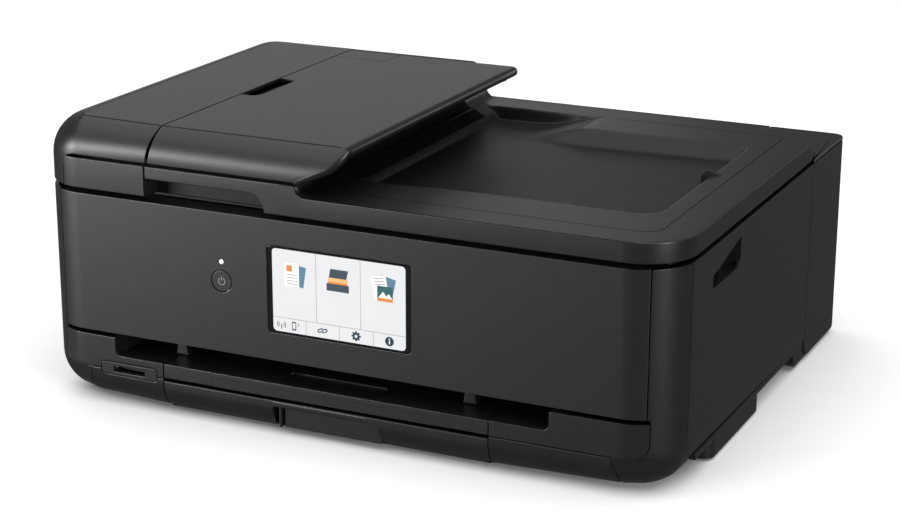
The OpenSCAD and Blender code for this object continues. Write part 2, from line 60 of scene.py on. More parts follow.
BLOCK_TOP = 47.4            # top of the front blocks
SEAM_Z = 25.0               # seam under the front blocks and the output tray
CASSETTE_TOP = 23.3         # top of the cassette's front
GAP = 0.5                   # seam between the case's covers
JOIN = 0.3                  # half the seam between the lower front's pieces
FASCIA_Z = 165.1            # top of the front strip under the feeder
FASCIA_EDGE = 197.4         # left end of that strip
FEEDER_Z = 167.1            # lower edge of the feeder's covers
SCREEN_X, SCREEN_Z = 1.75, 97.25
SCREEN_W, SCREEN_H = 91.5, 53.5
BUTTON_X, BUTTON_Z, BUTTON_R = -80.5, 97.2, 7.0
LAMP_Z = 110.0
HAIRLINE = 0.55             # width of the drawn seams on the cover and the feeder

ROUNDING = (0.03, 0.12, 0.27, 0.5, 0.75, 1.0)  # where a round corner gets points, in parts of its radius


def mix(a, b, t):
    return a + (b - a) * t


def smooth(t):
    """0 below 0, 1 above 1, and an even curve between."""
    t = min(1.0, max(0.0, t))
    return t * t * (3 - 2 * t)


def span(a, b, step):
    """Evenly spaced values from a to b, both included."""
    n = max(1, math.ceil(abs(b - a) / step))
    return [mix(a, b, i / n) for i in range(n + 1)]


# ---------- materials ----------

def node(tree, kind, **values):
    """A shader node with constants set on its sockets."""
    made = tree.nodes.new(kind)
    for key, value in values.items():
        made.inputs[key.replace("_", " ")].default_value = value
    return made


def surface(name, color, rough, metallic=0.0, grain=0.0, size=1200.0, vary=0.12, specular=0.5, coat=0.0):
    """A surface whose colour and roughness vary a little, with a fine grain raised by grain (0 to 1)."""
    material = bpy.data.materials.new(name)
    material.use_nodes = True
    tree = material.node_tree
    shader = tree.nodes["Principled BSDF"]
    shader.inputs["Metallic"].default_value = metallic
    shader.inputs["Specular IOR Level"].default_value = specular
    shader.inputs["Coat Weight"].default_value = coat
    coords = tree.nodes.new("ShaderNodeTexCoord")
    cloud = node(tree, "ShaderNodeTexNoise", Scale=45.0, Detail=3.0)
    speck = node(tree, "ShaderNodeTexNoise", Scale=size, Detail=2.0)
    for noise in (cloud, speck):
        tree.links.new(coords.outputs["Object"], noise.inputs["Vector"])
    tint = tree.nodes.new("ShaderNodeMix")
    tint.data_type = "RGBA"
    tint.inputs["A"].default_value = [c * (1 - vary) for c in color] + [1]
    tint.inputs["B"].default_value = [c * (1 + vary) for c in color] + [1]
    tree.links.new(cloud.outputs["Fac"], tint.inputs["Factor"])
    tree.links.new(tint.outputs["Result"], shader.inputs["Base Color"])
    shine = node(tree, "ShaderNodeMapRange", To_Min=rough * 0.85, To_Max=rough * 1.15)
    tree.links.new(speck.outputs["Fac"], shine.inputs["Value"])
    tree.links.new(shine.outputs["Result"], shader.inputs["Roughness"])
    if grain:
        bump = node(tree, "ShaderNodeBump", Strength=grain, Distance=0.0001)
        tree.links.new(speck.outputs["Fac"], bump.inputs["Height"])
        tree.links.new(bump.outputs["Normal"], shader.inputs["Normal"])
    return material


def glowing(name, color, power=1.0):
    """A lit surface, such as a display's page, slightly uneven."""
    material = surface(name, color, 0.35, vary=0.02, specular=0.2)
    tree = material.node_tree
    shader = tree.nodes["Principled BSDF"]
    tint = next(n for n in tree.nodes if n.type == "MIX")
    tree.links.new(tint.outputs["Result"], shader.inputs["Emission Color"])
    shader.inputs["Emission Strength"].default_value = power
    tree.links.remove(shader.inputs["Base Color"].links[0])
    shader.inputs["Base Color"].default_value = (0.01, 0.01, 0.01, 1)
    return material


def clear_glass(name):
    material = surface(name, (0.75, 0.85, 0.85), 0.05)
    material.node_tree.nodes["Principled BSDF"].inputs["Transmission Weight"].default_value = 0.9
    return material


LOOK = {made.name: made for made in (
    surface("case_black", (0.006, 0.006, 0.0065), 0.38, grain=0.3, specular=0.42),
    surface("panel_black", (0.006, 0.006, 0.0065), 0.38, grain=0.45, size=1500.0),
    # inner_black: matter than case_black for parts inside the case; its darker colour is painted shade where
    # parts sit in pockets and gaps.
    surface("inner_black", (0.004, 0.004, 0.0042), 0.6, grain=0.2, specular=0.3),
    surface("dark_grey", (0.03, 0.03, 0.032), 0.5, grain=0.2),
    # line_black: the near-black of drawn seams and lines, also used as painted shade on the cover's wall
    # under the document tray.
    surface("line_black", (0.001, 0.001, 0.001), 0.8, specular=0.05),
    surface("foot_rubber", (0.012, 0.012, 0.012), 0.8, grain=0.5),
    surface("steel_sheet", (0.5, 0.51, 0.52), 0.38, metallic=1.0, grain=0.1, size=300.0),
    surface("steel_rod", (0.62, 0.63, 0.64), 0.2, metallic=1.0),
    surface("display_face", (0.004, 0.004, 0.005), 0.12, coat=0.3),
    glowing("lamp_white", (0.95, 0.97, 1.0), 1.5),
    clear_glass("scan_glass"),
    surface("pad_white", (0.82, 0.82, 0.8), 0.8, grain=0.5, size=600.0),
    surface("roller_rubber", (0.025, 0.025, 0.027), 0.75, grain=0.4),
    surface("gear_white", (0.7, 0.7, 0.66), 0.45),
    surface("board_green", (0.015, 0.12, 0.05), 0.4, vary=0.3),
    surface("ink_black", (0.012, 0.012, 0.013), 0.25),
    surface("ink_cyan", (0.02, 0.28, 0.55), 0.25),
    surface("ink_magenta", (0.5, 0.03, 0.18), 0.25),
    surface("ink_yellow", (0.75, 0.5, 0.02), 0.25),
    glowing("page_white", (0.84, 0.85, 0.87)),
    glowing("page_line", (0.42, 0.43, 0.45)),
    glowing("icon_white", (1.0, 1.0, 1.0), 1.1),
    glowing("icon_blue", (0.12, 0.25, 0.36)),
    glowing("icon_slate", (0.05, 0.075, 0.105)),
    glowing("icon_navy", (0.012, 0.04, 0.075)),
    glowing("icon_teal", (0.03, 0.13, 0.14)),
    glowing("icon_orange", (0.85, 0.28, 0.06)),
    glowing("icon_amber", (0.95, 0.55, 0.22)),
    surface("mark_grey", (0.16, 0.165, 0.17), 0.5),
    # recess_shade_black: rougher and less shiny than case_black, a matte finish; its darker colour is
    # painted shade for the cover's recess.
    surface("recess_shade_black", (0.003, 0.003, 0.0033), 0.46, grain=0.5, specular=0.24),
)}


# ---------- building meshes ----------

def place(name, verts, faces, body, look="case_black"):
    """An object from points in millimetres, riding on a body; without a body it is a cutter."""
    mesh = bpy.data.meshes.new(name)
    mesh.from_pydata([Vector(v) * MM for v in verts], [], faces)
    shape = bmesh.new()
    shape.from_mesh(mesh)
    bmesh.ops.remove_doubles(shape, verts=shape.verts, dist=1e-6)
    bmesh.ops.dissolve_degenerate(shape, edges=shape.edges, dist=1e-6)
    shape.to_mesh(mesh)
    shape.free()
    obj = bpy.data.objects.new(name, mesh)
    bpy.context.scene.collection.objects.link(obj)
    mesh.materials.append(LOOK[look])
    if body:
        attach(obj, body)
    return obj


def bake(obj, sharp=32):
    """Applies the modifiers and shades smooth except at edges sharper than the angle."""
    bpy.context.view_layer.update()
    graph = bpy.context.evaluated_depsgraph_get()
    mesh = bpy.data.meshes.new_from_object(obj.evaluated_get(graph))
    obj.modifiers.clear()
    obj.data = mesh
    mesh.shade_smooth()
    mesh.set_sharp_from_angle(angle=math.radians(sharp))
    return obj


def even_shading(obj):
    """Keeps the shading of large flat faces flat beside their softened edges."""
    weighted = obj.modifiers.new("normals", "WEIGHTED_NORMAL")
    weighted.keep_sharp = True
    weighted.weight = 90
    return obj


def round_edges(obj, width, angle=32, segments=2):
    bevel = obj.modifiers.new("round", "BEVEL")
    bevel.width = width * MM
    bevel.segments = segments
    bevel.limit_method = "ANGLE"
    bevel.angle_limit = math.radians(angle)
    bevel.use_clamp_overlap = False


def cut(obj, cutter):
    """Takes a closed shape out of a solid."""
    taken = obj.modifiers.new("cut", "BOOLEAN")
    taken.operation = "DIFFERENCE"
    taken.object = cutter
    taken.solver = "EXACT"
    bake(obj)
    bpy.data.objects.remove(cutter)


def thicken(obj, depth):
    solid = obj.modifiers.new("thickness", "SOLIDIFY")
    solid.thickness = depth * MM
    solid.offset = -1.0


def grid_faces(rows, columns, start=0):
    """Quads of a grid of points stored row by row."""
    return [(start + r * columns + c, start + r * columns + c + 1,
             start + (r + 1) * columns + c + 1, start + (r + 1) * columns + c)
            for r in range(rows - 1) for c in range(columns - 1)]


def sheet_mesh(grids):
    """Points and faces of several grids of points."""
    verts, faces = [], []
    for grid in grids:
        faces += grid_faces(len(grid), len(grid[0]), len(verts))
        verts += [point for row in grid for point in row]
    return verts, faces


def skin(name, grids, body, look="case_black", depth=2.5, edge=0.4, cutters=()):
    """A cover: an outer surface from grids of points, thickened inwards, with softened edges."""
    verts, faces = sheet_mesh(grids)
    obj = place(name, verts, faces, body, look)
    thicken(obj, depth)
    bake(obj)
    for cutter in cutters:
        cut(obj, cutter)
    if edge:
        round_edges(obj, edge)
    return even_shading(bake(obj))


def face_outwards(obj):
    """Turns the faces of a closed shape outwards."""
    shape = bmesh.new()
    shape.from_mesh(obj.data)
    bmesh.ops.recalc_face_normals(shape, faces=shape.faces)
    shape.to_mesh(obj.data)
    shape.free()


def prism(name, outline, low, high, axis, body=None, look="case_black", edge=0.0):
    """A flat outline, given on the two other axes in X, Y, Z order, pushed along axis from low to high."""
    def point(pair, level):
        coords = list(pair)
        coords.insert("xyz".index(axis), level)
        return coords
    n = len(outline)
    verts = [point(p, low) for p in outline] + [point(p, high) for p in outline]
    faces = [tuple(range(n)), tuple(range(2 * n - 1, n - 1, -1))]
    faces += [(i, (i + 1) % n, n + (i + 1) % n, n + i) for i in range(n)]
    obj = place(name, verts, faces, body, look)
    face_outwards(obj)
    if edge:
        round_edges(obj, edge)
        return even_shading(bake(obj))
    return bake(obj)


def front_cut(name, outline, back):
    """A cutter through the front face, from before it to back."""
    return prism(name, outline, FRONT - 5, back, "y")


def bar(u0, u1, v0, v1):
    """A rectangle's outline."""
    return [(u0, v0), (u1, v0), (u1, v1), (u0, v1)]


def block(name, xs, ys, zs, body, look="case_black", edge=0.4):
    """A box over three spans, with softened edges."""
    return prism(name, bar(*xs, *ys), *zs, "z", body, look, edge)


def arc(u, v, r, start, turn, steps):
    """Points on a circle about (u, v), from the angle start through turn degrees."""
    angles = [math.radians(start + turn * i / steps) for i in range(steps + 1)]
    return [(u + r * math.cos(a), v + r * math.sin(a)) for a in angles]


def rounded_outline(u0, u1, v0, v1, r, steps=6):
    """A rectangle's outline with round corners."""
    right, left, top, bottom = u1 - r, u0 + r, v1 - r, v0 + r
    return (arc(right, bottom, r, -90, 90, steps) + arc(right, top, r, 0, 90, steps)
            + arc(left, top, r, 90, 90, steps) + arc(left, bottom, r, 180, 90, steps))


def circle_outline(u, v, r, steps=40):
    return arc(u, v, r, 0, 360, steps)[:-1]


def ring_outline(u, v, inner, outer, start, turn, steps):
    """Part of a flat ring, drawn from the angle start through turn degrees."""
    return arc(u, v, outer, start, turn, steps) + arc(u, v, inner, start, turn, steps)[::-1]


def ribbon(name, path, normal, width, body, look="line_black"):
    """A thin flat line along a path of points, facing along normal."""
    verts = []
    for i, point in enumerate(path):
        along = Vector(path[min(i + 1, len(path) - 1)]) - Vector(path[max(i - 1, 0)])
        up = Vector(normal(point) if callable(normal) else normal)
        across = along.cross(up).normalized() * width / 2
        lifted = Vector(point) + up.normalized() * 0.04
        verts += [lifted - across, lifted + across]
    faces = [(2 * i, 2 * i + 1, 2 * i + 3, 2 * i + 2) for i in range(len(path) - 1)]
    return place(name, verts, faces, body, look)


def tube(name, path, radius, body, sides=14):
    """A round bar along a path of points, with rounded ends."""
    rings = []
    points = [Vector(p) for p in path]
    for i, point in enumerate(points):
        along = (points[min(i + 1, len(points) - 1)] - points[max(i - 1, 0)]).normalized()
        across = along.cross(Vector((1, 0, 0))).normalized()
        up = across.cross(along).normalized()
        rings.append([point + radius * (math.cos(a) * across + math.sin(a) * up)
                      for a in (2 * math.pi * k / sides for k in range(sides))])
    verts = [p for ring in rings for p in ring]
    faces = [(r + k, r + (k + 1) % sides, r + sides + (k + 1) % sides, r + sides + k)
             for r in range(0, len(verts) - sides, sides) for k in range(sides)]
    faces += [tuple(range(sides)), tuple(len(verts) - 1 - k for k in range(sides))]
    made = place(name, verts, faces, body)
    face_outwards(made)
    round_edges(made, 0.8, angle=60)
    return bake(made)


# ---------- the plan outline ----------

class Outline:
    """The body seen from above. A place on it is its distance from the front's centre, to the right."""

    def __init__(self, back, rear_corner):
        self.back = back
        self.rear = rear_corner
        self.arc = CORNER * math.pi / 2
        self.side = back - rear_corner - (FRONT + CORNER)
        self.rear_arc = rear_corner * math.pi / 2
        self.side_start = STRAIGHT + self.arc
        self.rear_start = self.side_start + self.side
        self.rear_end = self.rear_start + self.rear_arc

    def at_x(self, x):
        """The place on the front or a front corner at this x."""
        past = abs(x) - STRAIGHT
        if past <= 0:
            return x
        return math.copysign(STRAIGHT + CORNER * math.asin(past / CORNER), x)

    def at_y(self, y):
        """The place on the right side or one of its corners at this y."""
        if y < FRONT + CORNER:
            return STRAIGHT + CORNER * math.acos((FRONT + CORNER - y) / CORNER)
        past = y - (self.back - self.rear)
        if past > 0:
            return self.rear_start + self.rear * math.asin(min(1.0, past / self.rear))
        return self.side_start + y - (FRONT + CORNER)

    def point(self, at, inset=0.0):
        """(x, y) at a place, moved inwards by inset."""
        sign = 1 if at >= 0 else -1
        rest = abs(at)
        if rest <= STRAIGHT:
            return sign * rest, FRONT + inset
        rest -= STRAIGHT
        if rest <= self.arc:
            a = rest / CORNER
            radius = CORNER - inset
            return sign * (STRAIGHT + radius * math.sin(a)), FRONT + CORNER - radius * math.cos(a)
        rest -= self.arc
        if rest <= self.side:
            return sign * (HALF_W - inset), FRONT + CORNER + rest
        rest -= self.side
        if rest <= self.rear_arc:
            a = rest / self.rear
            radius = self.rear - inset
            return (sign * (HALF_W - self.rear + radius * math.cos(a)),
                    self.back - self.rear + radius * math.sin(a))
        rest -= self.rear_arc
        return sign * (HALF_W - self.rear - rest), self.back - inset

    def places(self, a, b, step=3.0):
        """Places from a to b: close together round corners, only the ends on straight parts."""
        bends = [STRAIGHT, self.side_start, self.rear_start, self.rear_end]
        bends = [-bend for bend in bends] + bends
        marks = sorted({a, b, *(bend for bend in bends if a < bend < b)})
        found = []
        for low, high in zip(marks, marks[1:]):
            middle = abs(low + high) / 2
            curved = STRAIGHT < middle < self.side_start or self.rear_start < middle < self.rear_end
            found += span(low, high, step)[:-1] if curved else [low]
        return found + [b]


BODY = Outline(BACK, REAR_CORNER)
COVER = Outline(COVER_BACK, CORNER)


def undercut(at, z):
    """How far the covers curve inwards near the floor: tighter at the front and rear than at the sides."""
    radius = mix(18.0, 27.0, smooth((abs(at) - 150) / 50))
    radius = mix(radius, 3.0, smooth((abs(at) - BODY.at_y(REAR_Y) + 2) / 2))
    drop = FLOOR_Z + radius - z
    return 0.0 if drop <= 0 else radius - math.sqrt(max(0.0, radius ** 2 - min(drop, radius) ** 2))


def on_body(at, z):
    x, y = BODY.point(at, undercut(at, z))
    return x, y, z


def arc_in(distance, r):
    """How far a corner of radius r steps in at this distance from its end."""
    if distance >= r or r <= 0:
        return 0.0
    return r - math.sqrt(max(0.0, r * r - (r - max(distance, 0.0)) ** 2))


def levels(z0, z1, r0=0.0, r1=0.0):
    """Heights from z0 to z1: close together in round corners and where the covers curve."""
    marks = {z0, z1}
    if r0:
        marks.update(mix(z0, z0 + r0, t) for t in ROUNDING)
    if r1:
        marks.update(mix(z1, z1 - r1, t) for t in ROUNDING)
    marks.update(z for z in span(z0, 30.0, 2.0) if z0 < z < z1)
    return sorted(marks)


def patch(z0, z1, left, right, radii=(0, 0, 0, 0), heights=None):
    """A grid on the body's covers between two edges, given as places or functions of z.

    radii are those of its corners: lower left, lower right, upper left, upper right.
    """
    low_l, low_r, top_l, top_r = radii
    heights = heights or levels(z0, z1, max(low_l, low_r), max(top_l, top_r))
    edge_l = left if callable(left) else (lambda z: left)
    edge_r = right if callable(right) else (lambda z: right)
    starts = [edge_l(z) + arc_in(z - z0, low_l) + arc_in(z1 - z, top_l) for z in heights]
    ends = [edge_r(z) - arc_in(z - z0, low_r) - arc_in(z1 - z, top_r) for z in heights]
    inner = BODY.places(max(starts) + 0.5, min(ends) - 0.5)
    return [[on_body(a, z) for a in [start] + inner + [end]]
            for z, start, end in zip(heights, starts, ends)]


# ---------- the frame ----------

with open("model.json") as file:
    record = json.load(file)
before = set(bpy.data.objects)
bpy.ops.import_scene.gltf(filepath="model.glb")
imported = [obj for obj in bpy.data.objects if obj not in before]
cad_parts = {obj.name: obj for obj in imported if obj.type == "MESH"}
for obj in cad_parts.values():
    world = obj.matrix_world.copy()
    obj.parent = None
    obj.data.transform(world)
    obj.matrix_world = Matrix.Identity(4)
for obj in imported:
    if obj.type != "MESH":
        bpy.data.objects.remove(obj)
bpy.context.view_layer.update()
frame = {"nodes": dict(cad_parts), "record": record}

NODE_LOOK = {entry["node"]: entry["material_slot"] for entry in frame["record"]["subparts"]}
for name, cad in frame["nodes"].items():
    cad.data.materials.clear()
    cad.data.materials.append(LOOK[NODE_LOOK[name]])
    softened = cad.modifiers.new("round", "BEVEL")
    softened.width = 0.25 * MM
    softened.segments = 1
    softened.limit_method = "ANGLE"
    softened.angle_limit = math.radians(40)


# ---------- case ----------

def low_seam(near_floor, above, z):
    """Place of the slanted seam beside a lower front cover, given its x near the floor and further up."""
    return BODY.at_x(mix(near_floor, above, smooth((z - 11) / 14)))


def column_edge(z):
    """The edge of a front column towards the middle: beside the panel, round the front block, then low."""
    if z >= PANEL_Z:
        return BODY.at_x(PANEL_EDGE + GAP)
    if z >= SEAM_Z:
        return BODY.at_x(BLOCK_EDGE + 0.4 - arc_in(z - SEAM_Z, 10.0))
    return low_seam(184.4, 181.3, z)


def column_back(z):
    """The edge of a front column towards the side cover, which curves back near the floor."""
    return BODY.at_y(COLUMN_Y) - GAP / 2 + 14 * smooth((36 - z) / 15)


def on_side(grid, sign):
    """A grid of the right side as it is, or mirrored to the left when sign is -1."""
    if sign > 0:
        return grid
    return [[(-x, y, z) for x, y, z in reversed(row)] for row in grid]


COLUMN_LEVELS = span(3.0, SEAM_Z - 0.02, 2.0) + [SEAM_Z + 10 * t for t in (0.002, *ROUNDING)]
COLUMN_LEVELS += [40.0, PANEL_Z - 0.02, PANEL_Z, CASE_TOP]
column = patch(3.0, CASE_TOP, column_edge, column_back, heights=COLUMN_LEVELS)
side = patch(SIDE_Z, CASE_TOP, BODY.at_y(COLUMN_Y) + GAP / 2, BODY.at_y(REAR_Y), radii=(15, 0, 0, 0))
rear = patch(3.0, CASE_TOP - 0.4, BODY.at_y(REAR_Y) + GAP, BODY.rear_end + HALF_W - REAR_CORNER - REAR_X,
             radii=(12, 0, 0, 0))
GRIP_HOLE = [(-112, 116.5), (-110.8, 115.3), (-63, 115.3), (-59.5, 118.8), (-59.5, 134), (-112, 123.5)]
grip = prism("grip_cut", GRIP_HOLE, HALF_W - 12, HALF_W + 2, "x")

cap_outline = [(REAR_X + 0.3, COVER_BACK + 1)] + arc(STRAIGHT, COVER_BACK - CORNER, CORNER + 1, 90, -72, 12)
cap_outline += [(HALF_W, REAR_Y + 1)] + arc(HALF_W - REAR_CORNER, BACK - REAR_CORNER, REAR_CORNER, 0, 90, 6)
cap_outline += [(REAR_X + 0.3, BACK)]

for sign, word in ((1, "right"), (-1, "left")):
    room_xs = sorted((sign * 180, sign * (PANEL_EDGE + GAP - 0.05)))
    room = prism("panel_room", bar(*room_xs, FRONT - 5, -140), PANEL_Z + 0.3, CASE_TOP + 5, "z")
    front_column = skin(f"{word}_front_column", [on_side(column, sign)], "base", cutters=[room])
    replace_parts(front_column, "front_frame")
    side_cover = skin(f"{word}_side", [on_side(side, sign)], "base", cutters=[grip] if sign > 0 else ())
    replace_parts(side_cover, f"{word}_side_cover")
    rear_wall = skin(f"{word}_rear_wall", [on_side(rear, sign)], "base")
    rear_cap = prism(f"{word}_rear_cap", [(sign * x, y) for x, y in cap_outline], CASE_TOP, 144.9, "z",
                     "base", edge=1.0)
    bracket = block(f"{word}_rear_bracket", sorted((sign * 166, sign * 172)), (123, 172), (100, CASE_TOP),
                    "base", "inner_black")
    for piece in (rear_wall, rear_cap, bracket):
        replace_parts(piece, f"rear_{word}_corner")

ARM_YS, ARM_ZS = (-167.5, -153), (134.4, 137.0)
FRAME_BARS = {
    "panel_crossbar": ((-212, 212), (-156, -153), (118, 140.6)),
    "cassette_sill": ((-184, 184), (-156, -148), (3, 5)),
    "left_panel_arm": ((-152.5, -147.5), ARM_YS, ARM_ZS),
    "right_panel_arm": ((147.5, 152.5), ARM_YS, ARM_ZS),
}
for name, spans in FRAME_BARS.items():
    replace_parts(block(name, *spans, "base", "inner_black"), "front_frame")

RAIL_YS, RAIL_ZS = (-146, 140), (4, 24)
TRAY_BARS = {
    "tray_floor": ((-198, 198), (-136, 171.5), (1.2, 4)),
    "tray_left_rail": ((CASSETTE_L - 4, CASSETTE_L - 1), RAIL_YS, RAIL_ZS),
    "tray_right_rail": ((CASSETTE_R + 1, CASSETTE_R + 4), RAIL_YS, RAIL_ZS),
    "tray_rear_rail": ((CASSETTE_L - 1, CASSETTE_R + 1), (137, 140), RAIL_ZS),
}
for name, spans in TRAY_BARS.items():
    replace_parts(block(name, *spans, "base", "inner_black"), "base_tray")

SKIRT_X, SKIRT_TOP = 218.4, SIDE_Z - 0.2  # outer face and top of the tray's side skirts
SKIRT_INNER_X = 205
FOOT_INNER_X, FOOT_FRONT_Y, FOOT_BACK_Y, FOOT_CORNER = 204, -101, -8, 8
front_foot = [(FOOT_INNER_X, FOOT_FRONT_Y)]
front_foot += arc(SKIRT_X - FOOT_CORNER, FOOT_FRONT_Y + FOOT_CORNER, FOOT_CORNER, -90, 90, 9)
front_foot += [(SKIRT_X, FOOT_BACK_Y), (FOOT_INNER_X, FOOT_BACK_Y)]
REAR_FOOT = [(74, SKIRT_TOP - 1), (74, 6), (78, 3), (171, 3), (171, SKIRT_TOP - 1)]
SKIRT_YS = ((-131, -95), (-9, REAR_Y))
for sign, word in ((1, "right"), (-1, "left")):
    foot = prism(f"{word}_front_foot", [(sign * x, y) for x, y in front_foot], 1.6, SKIRT_TOP, "z",
                 "base", edge=0.7)
    skirt_xs = sorted((sign * SKIRT_INNER_X, sign * SKIRT_X))
    rails = [block(f"{word}_skirt_{n}", skirt_xs, ys, (13.2, SKIRT_TOP), "base", edge=0.7)
             for n, ys in enumerate(SKIRT_YS)]
    rear_foot_xs = sorted((sign * SKIRT_INNER_X, sign * (SKIRT_X - 0.4)))
    rear_foot = prism(f"{word}_rear_foot", REAR_FOOT, *rear_foot_xs, "x", "base", edge=0.5)
    for piece in [foot, rear_foot] + rails:
        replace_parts(piece, "base_tray")

GRIP_X = HALF_W - 10.4
GRIP_XS = (GRIP_X, HALF_W - 2.4)
GRIP_PARTS = {
    "grip_back": ((GRIP_X, GRIP_X + 1.4), (-114, -57), (112, 138)),
    "grip_front_end": (GRIP_XS, (-114, -112.4), (112, 138)),
    "grip_rear_end": (GRIP_XS, (-59.4, -57.8), (112, 138)),
    "grip_floor": (GRIP_XS, (-113, -58), (113.6, 115.1)),
    "grip_roof": (GRIP_XS, (-113, -58), (136, 137.5)),
    "grip_front_rib": ((GRIP_X + 1, GRIP_X + 5), (-101, -98.5), (115, 136)),
    "grip_rear_rib": ((GRIP_X + 1, GRIP_X + 5), (-84, -81.5), (115, 136)),
}
for name, spans in GRIP_PARTS.items():
    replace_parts(block(name, *spans, "base", edge=0.5), "right_side_cover")


# ---------- lower front ----------

def step_cut(name, edge, away):
    """What the paper opening takes from a front block: a step with a small round inner corner."""
    sign = 1 if away > edge else -1
    r = 4
    corner = arc(edge + sign * r, SLOT_Z + r, r, 180 if sign > 0 else 0, sign * 90, 6)
    return front_cut(name, [(edge, 60)] + corner + [(away, SLOT_Z), (away, 60)], -140)


def plate_cut():
    """The opening for the card plate, in the block and in the cover below it."""
    return front_cut("plate_cut", rounded_outline(-173.8, -130.7, 21.4, 30.6, 2.8), -160)


BLOCK_ZS, LOW_ZS = (SEAM_Z + JOIN, BLOCK_TOP), (5.4, SEAM_Z - 0.2)
block_end = BODY.at_x(BLOCK_EDGE)
card_front = skin("card_front", [patch(*BLOCK_ZS, -block_end, CASSETTE_L - JOIN, radii=(10, 0, 0, 0))],
                  "base", cutters=[step_cut("card_step", SLOT_L, -100), plate_cut()])
card_low = skin("card_low", [patch(*LOW_ZS, lambda z: -low_seam(183.8, 181, z), CASSETTE_L - JOIN)],
                "base", cutters=[plate_cut()])
card_plate = prism("card_plate", rounded_outline(-173.4, -131.1, 21.8, 30.2, 2.4),
                   FRONT - 0.05, FRONT + 2.4, "y", "base")
cut(card_plate, front_cut("slot_cut", rounded_outline(-163.8, -140.3, 23.9, 27.9, 0.5), -160))
round_edges(card_plate, 0.45)
even_shading(bake(card_plate))
SLOT_YS, LEDGE_ZS, CHEEK_ZS = (FRONT + 2, -120), (33.2, SLOT_Z), (SLOT_Z - 1, BLOCK_TOP)
card_ledge = block("card_ledge", (SLOT_L, CASSETTE_L - JOIN), SLOT_YS, LEDGE_ZS, "base")
card_cheek = block("card_cheek", (SLOT_L - 2, SLOT_L), SLOT_YS, CHEEK_ZS, "base")
card_box = block("card_box", (-166, -138), (-167, -166), (20, 31), "base", "inner_black")
card_pins = [block(f"card_pins_{n}", (-162.5, -141.6), (-170 + n, -168), (z, z + 0.5),
                   "base", edge=0.1)
             for n, z in enumerate((24.9, 26.4))]
card_back = block("card_back", (-204, -160), (-166, -165), (24, 60), "base", "inner_black")
for piece in [card_front, card_low, card_plate, card_ledge, card_cheek, card_box, card_back] + card_pins:
    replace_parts(piece, "card_slot_block")

right_block = skin("right_block", [patch(*BLOCK_ZS, CASSETTE_R + JOIN, block_end, radii=(0, 10, 0, 0))],
                   "base", cutters=[step_cut("block_step", SLOT_R, 60)])
right_ledge = block("right_ledge", (CASSETTE_R + JOIN, SLOT_R), SLOT_YS, LEDGE_ZS, "base")
right_cheek = block("right_cheek", (SLOT_R, SLOT_R + 2), SLOT_YS, CHEEK_ZS, "base")
for piece in (right_block, right_ledge, right_cheek):
    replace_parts(piece, "right_front_block")
right_low = skin("right_low", [patch(*LOW_ZS, CASSETTE_R + JOIN, lambda z: low_seam(183.8, 181, z))], "base")
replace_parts(right_low, "lower_front_cover")


# ---------- trays ----------

TRAY_L, TRAY_R = CASSETTE_L + JOIN, CASSETTE_R - JOIN
tray_profile = [(FRONT, SEAM_Z + 0.6), (FRONT, SLOT_Z - 0.1), (-62, SLOT_Z - 0.1), (-62, 32.2),
                (FRONT + 3, 32.2), (FRONT + 3, SEAM_Z + 0.6)]
output_tray = prism("output_tray_floor", tray_profile, TRAY_L, TRAY_R, "x", "output_tray")
round_edges(output_tray, 0.5)
bake(output_tray)
cut(output_tray, prism("floor_cut", rounded_outline(-44, 25, -172, -153, 3), SLOT_Z - 1.0, SLOT_Z + 2, "z"))
cut(output_tray, prism("mouth_cut", bar(-89.8, 65.8, 20, 31.8), FRONT - 2, FRONT + 5, "y"))
even_shading(output_tray)
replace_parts(output_tray, "output_tray")
extension = prism("extension_tray", [(FRONT, SEAM_Z + 0.7), (FRONT, 31.7), (-80, 31.7), (-80, 28.6),
                                     (FRONT + 2.9, 28.6), (FRONT + 2.9, SEAM_Z + 0.7)],
                  -89.7, 65.7, "x", "tray_extension")
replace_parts(extension, "tray_extension")

for n, x in enumerate((-123.5, 81.5)):
    prism(f"paper_fin_{n}", [(x - 4.5, 35.6), (x + 4.5, 35.6), (x + 2, 51), (x - 2, 51)], -156, -150, "y",
          "base", edge=0.6)

HOLLOW_L, HOLLOW_R = -46, 28  # sides of the hollow for the fingers in the cassette's front
BIN_XS, BIN_YS, BIN_ZS = (CASSETTE_L + 1.5, CASSETTE_R - 1.5), (-168, 132), (4.4, 23.8)
cassette_front = skin(
    "cassette_front", [patch(3.0, CASSETTE_TOP, TRAY_L, TRAY_R)], "cassette", depth=3.0,
    cutters=[front_cut("cassette_grip_cut", rounded_outline(HOLLOW_L, HOLLOW_R, -4, 19.2, 1.5), -150)])
CASSETTE_PARTS = {
    "cassette_floor": (BIN_XS, BIN_YS, (4.4, 6.4)),
    "cassette_left_wall": ((BIN_XS[0], CASSETTE_L + 4), BIN_YS, BIN_ZS),
    "cassette_right_wall": ((CASSETTE_R - 4, BIN_XS[1]), BIN_YS, BIN_ZS),
    "cassette_back_wall": (BIN_XS, (129, 132), BIN_ZS),
    "cassette_front_wall": (BIN_XS, (-161, -158), BIN_ZS),
    "cassette_grip_roof": ((HOLLOW_L, HOLLOW_R), (-173, -160), (19.4, 20.9)),
    "cassette_grip_left": ((HOLLOW_L - 1.5, HOLLOW_L), (-172, -160), (6.5, 20)),
    "cassette_grip_right": ((HOLLOW_R, HOLLOW_R + 1.5), (-172, -160), (6.5, 20)),
}
for name, spans in CASSETTE_PARTS.items():
    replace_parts(block(name, *spans, "cassette", "inner_black"), "cassette")
cassette_lip = prism("cassette_lip", rounded_outline(HOLLOW_L, 21.5, 19.2, CASSETTE_TOP + 0.1, 1.4),
                     FRONT - 0.3, FRONT + 5, "y", "cassette", edge=1.2)
grip_plate = block("cassette_grip_plate", (-39.5, 28.5), (-171.5, -169), (5.3, 20), "cassette")
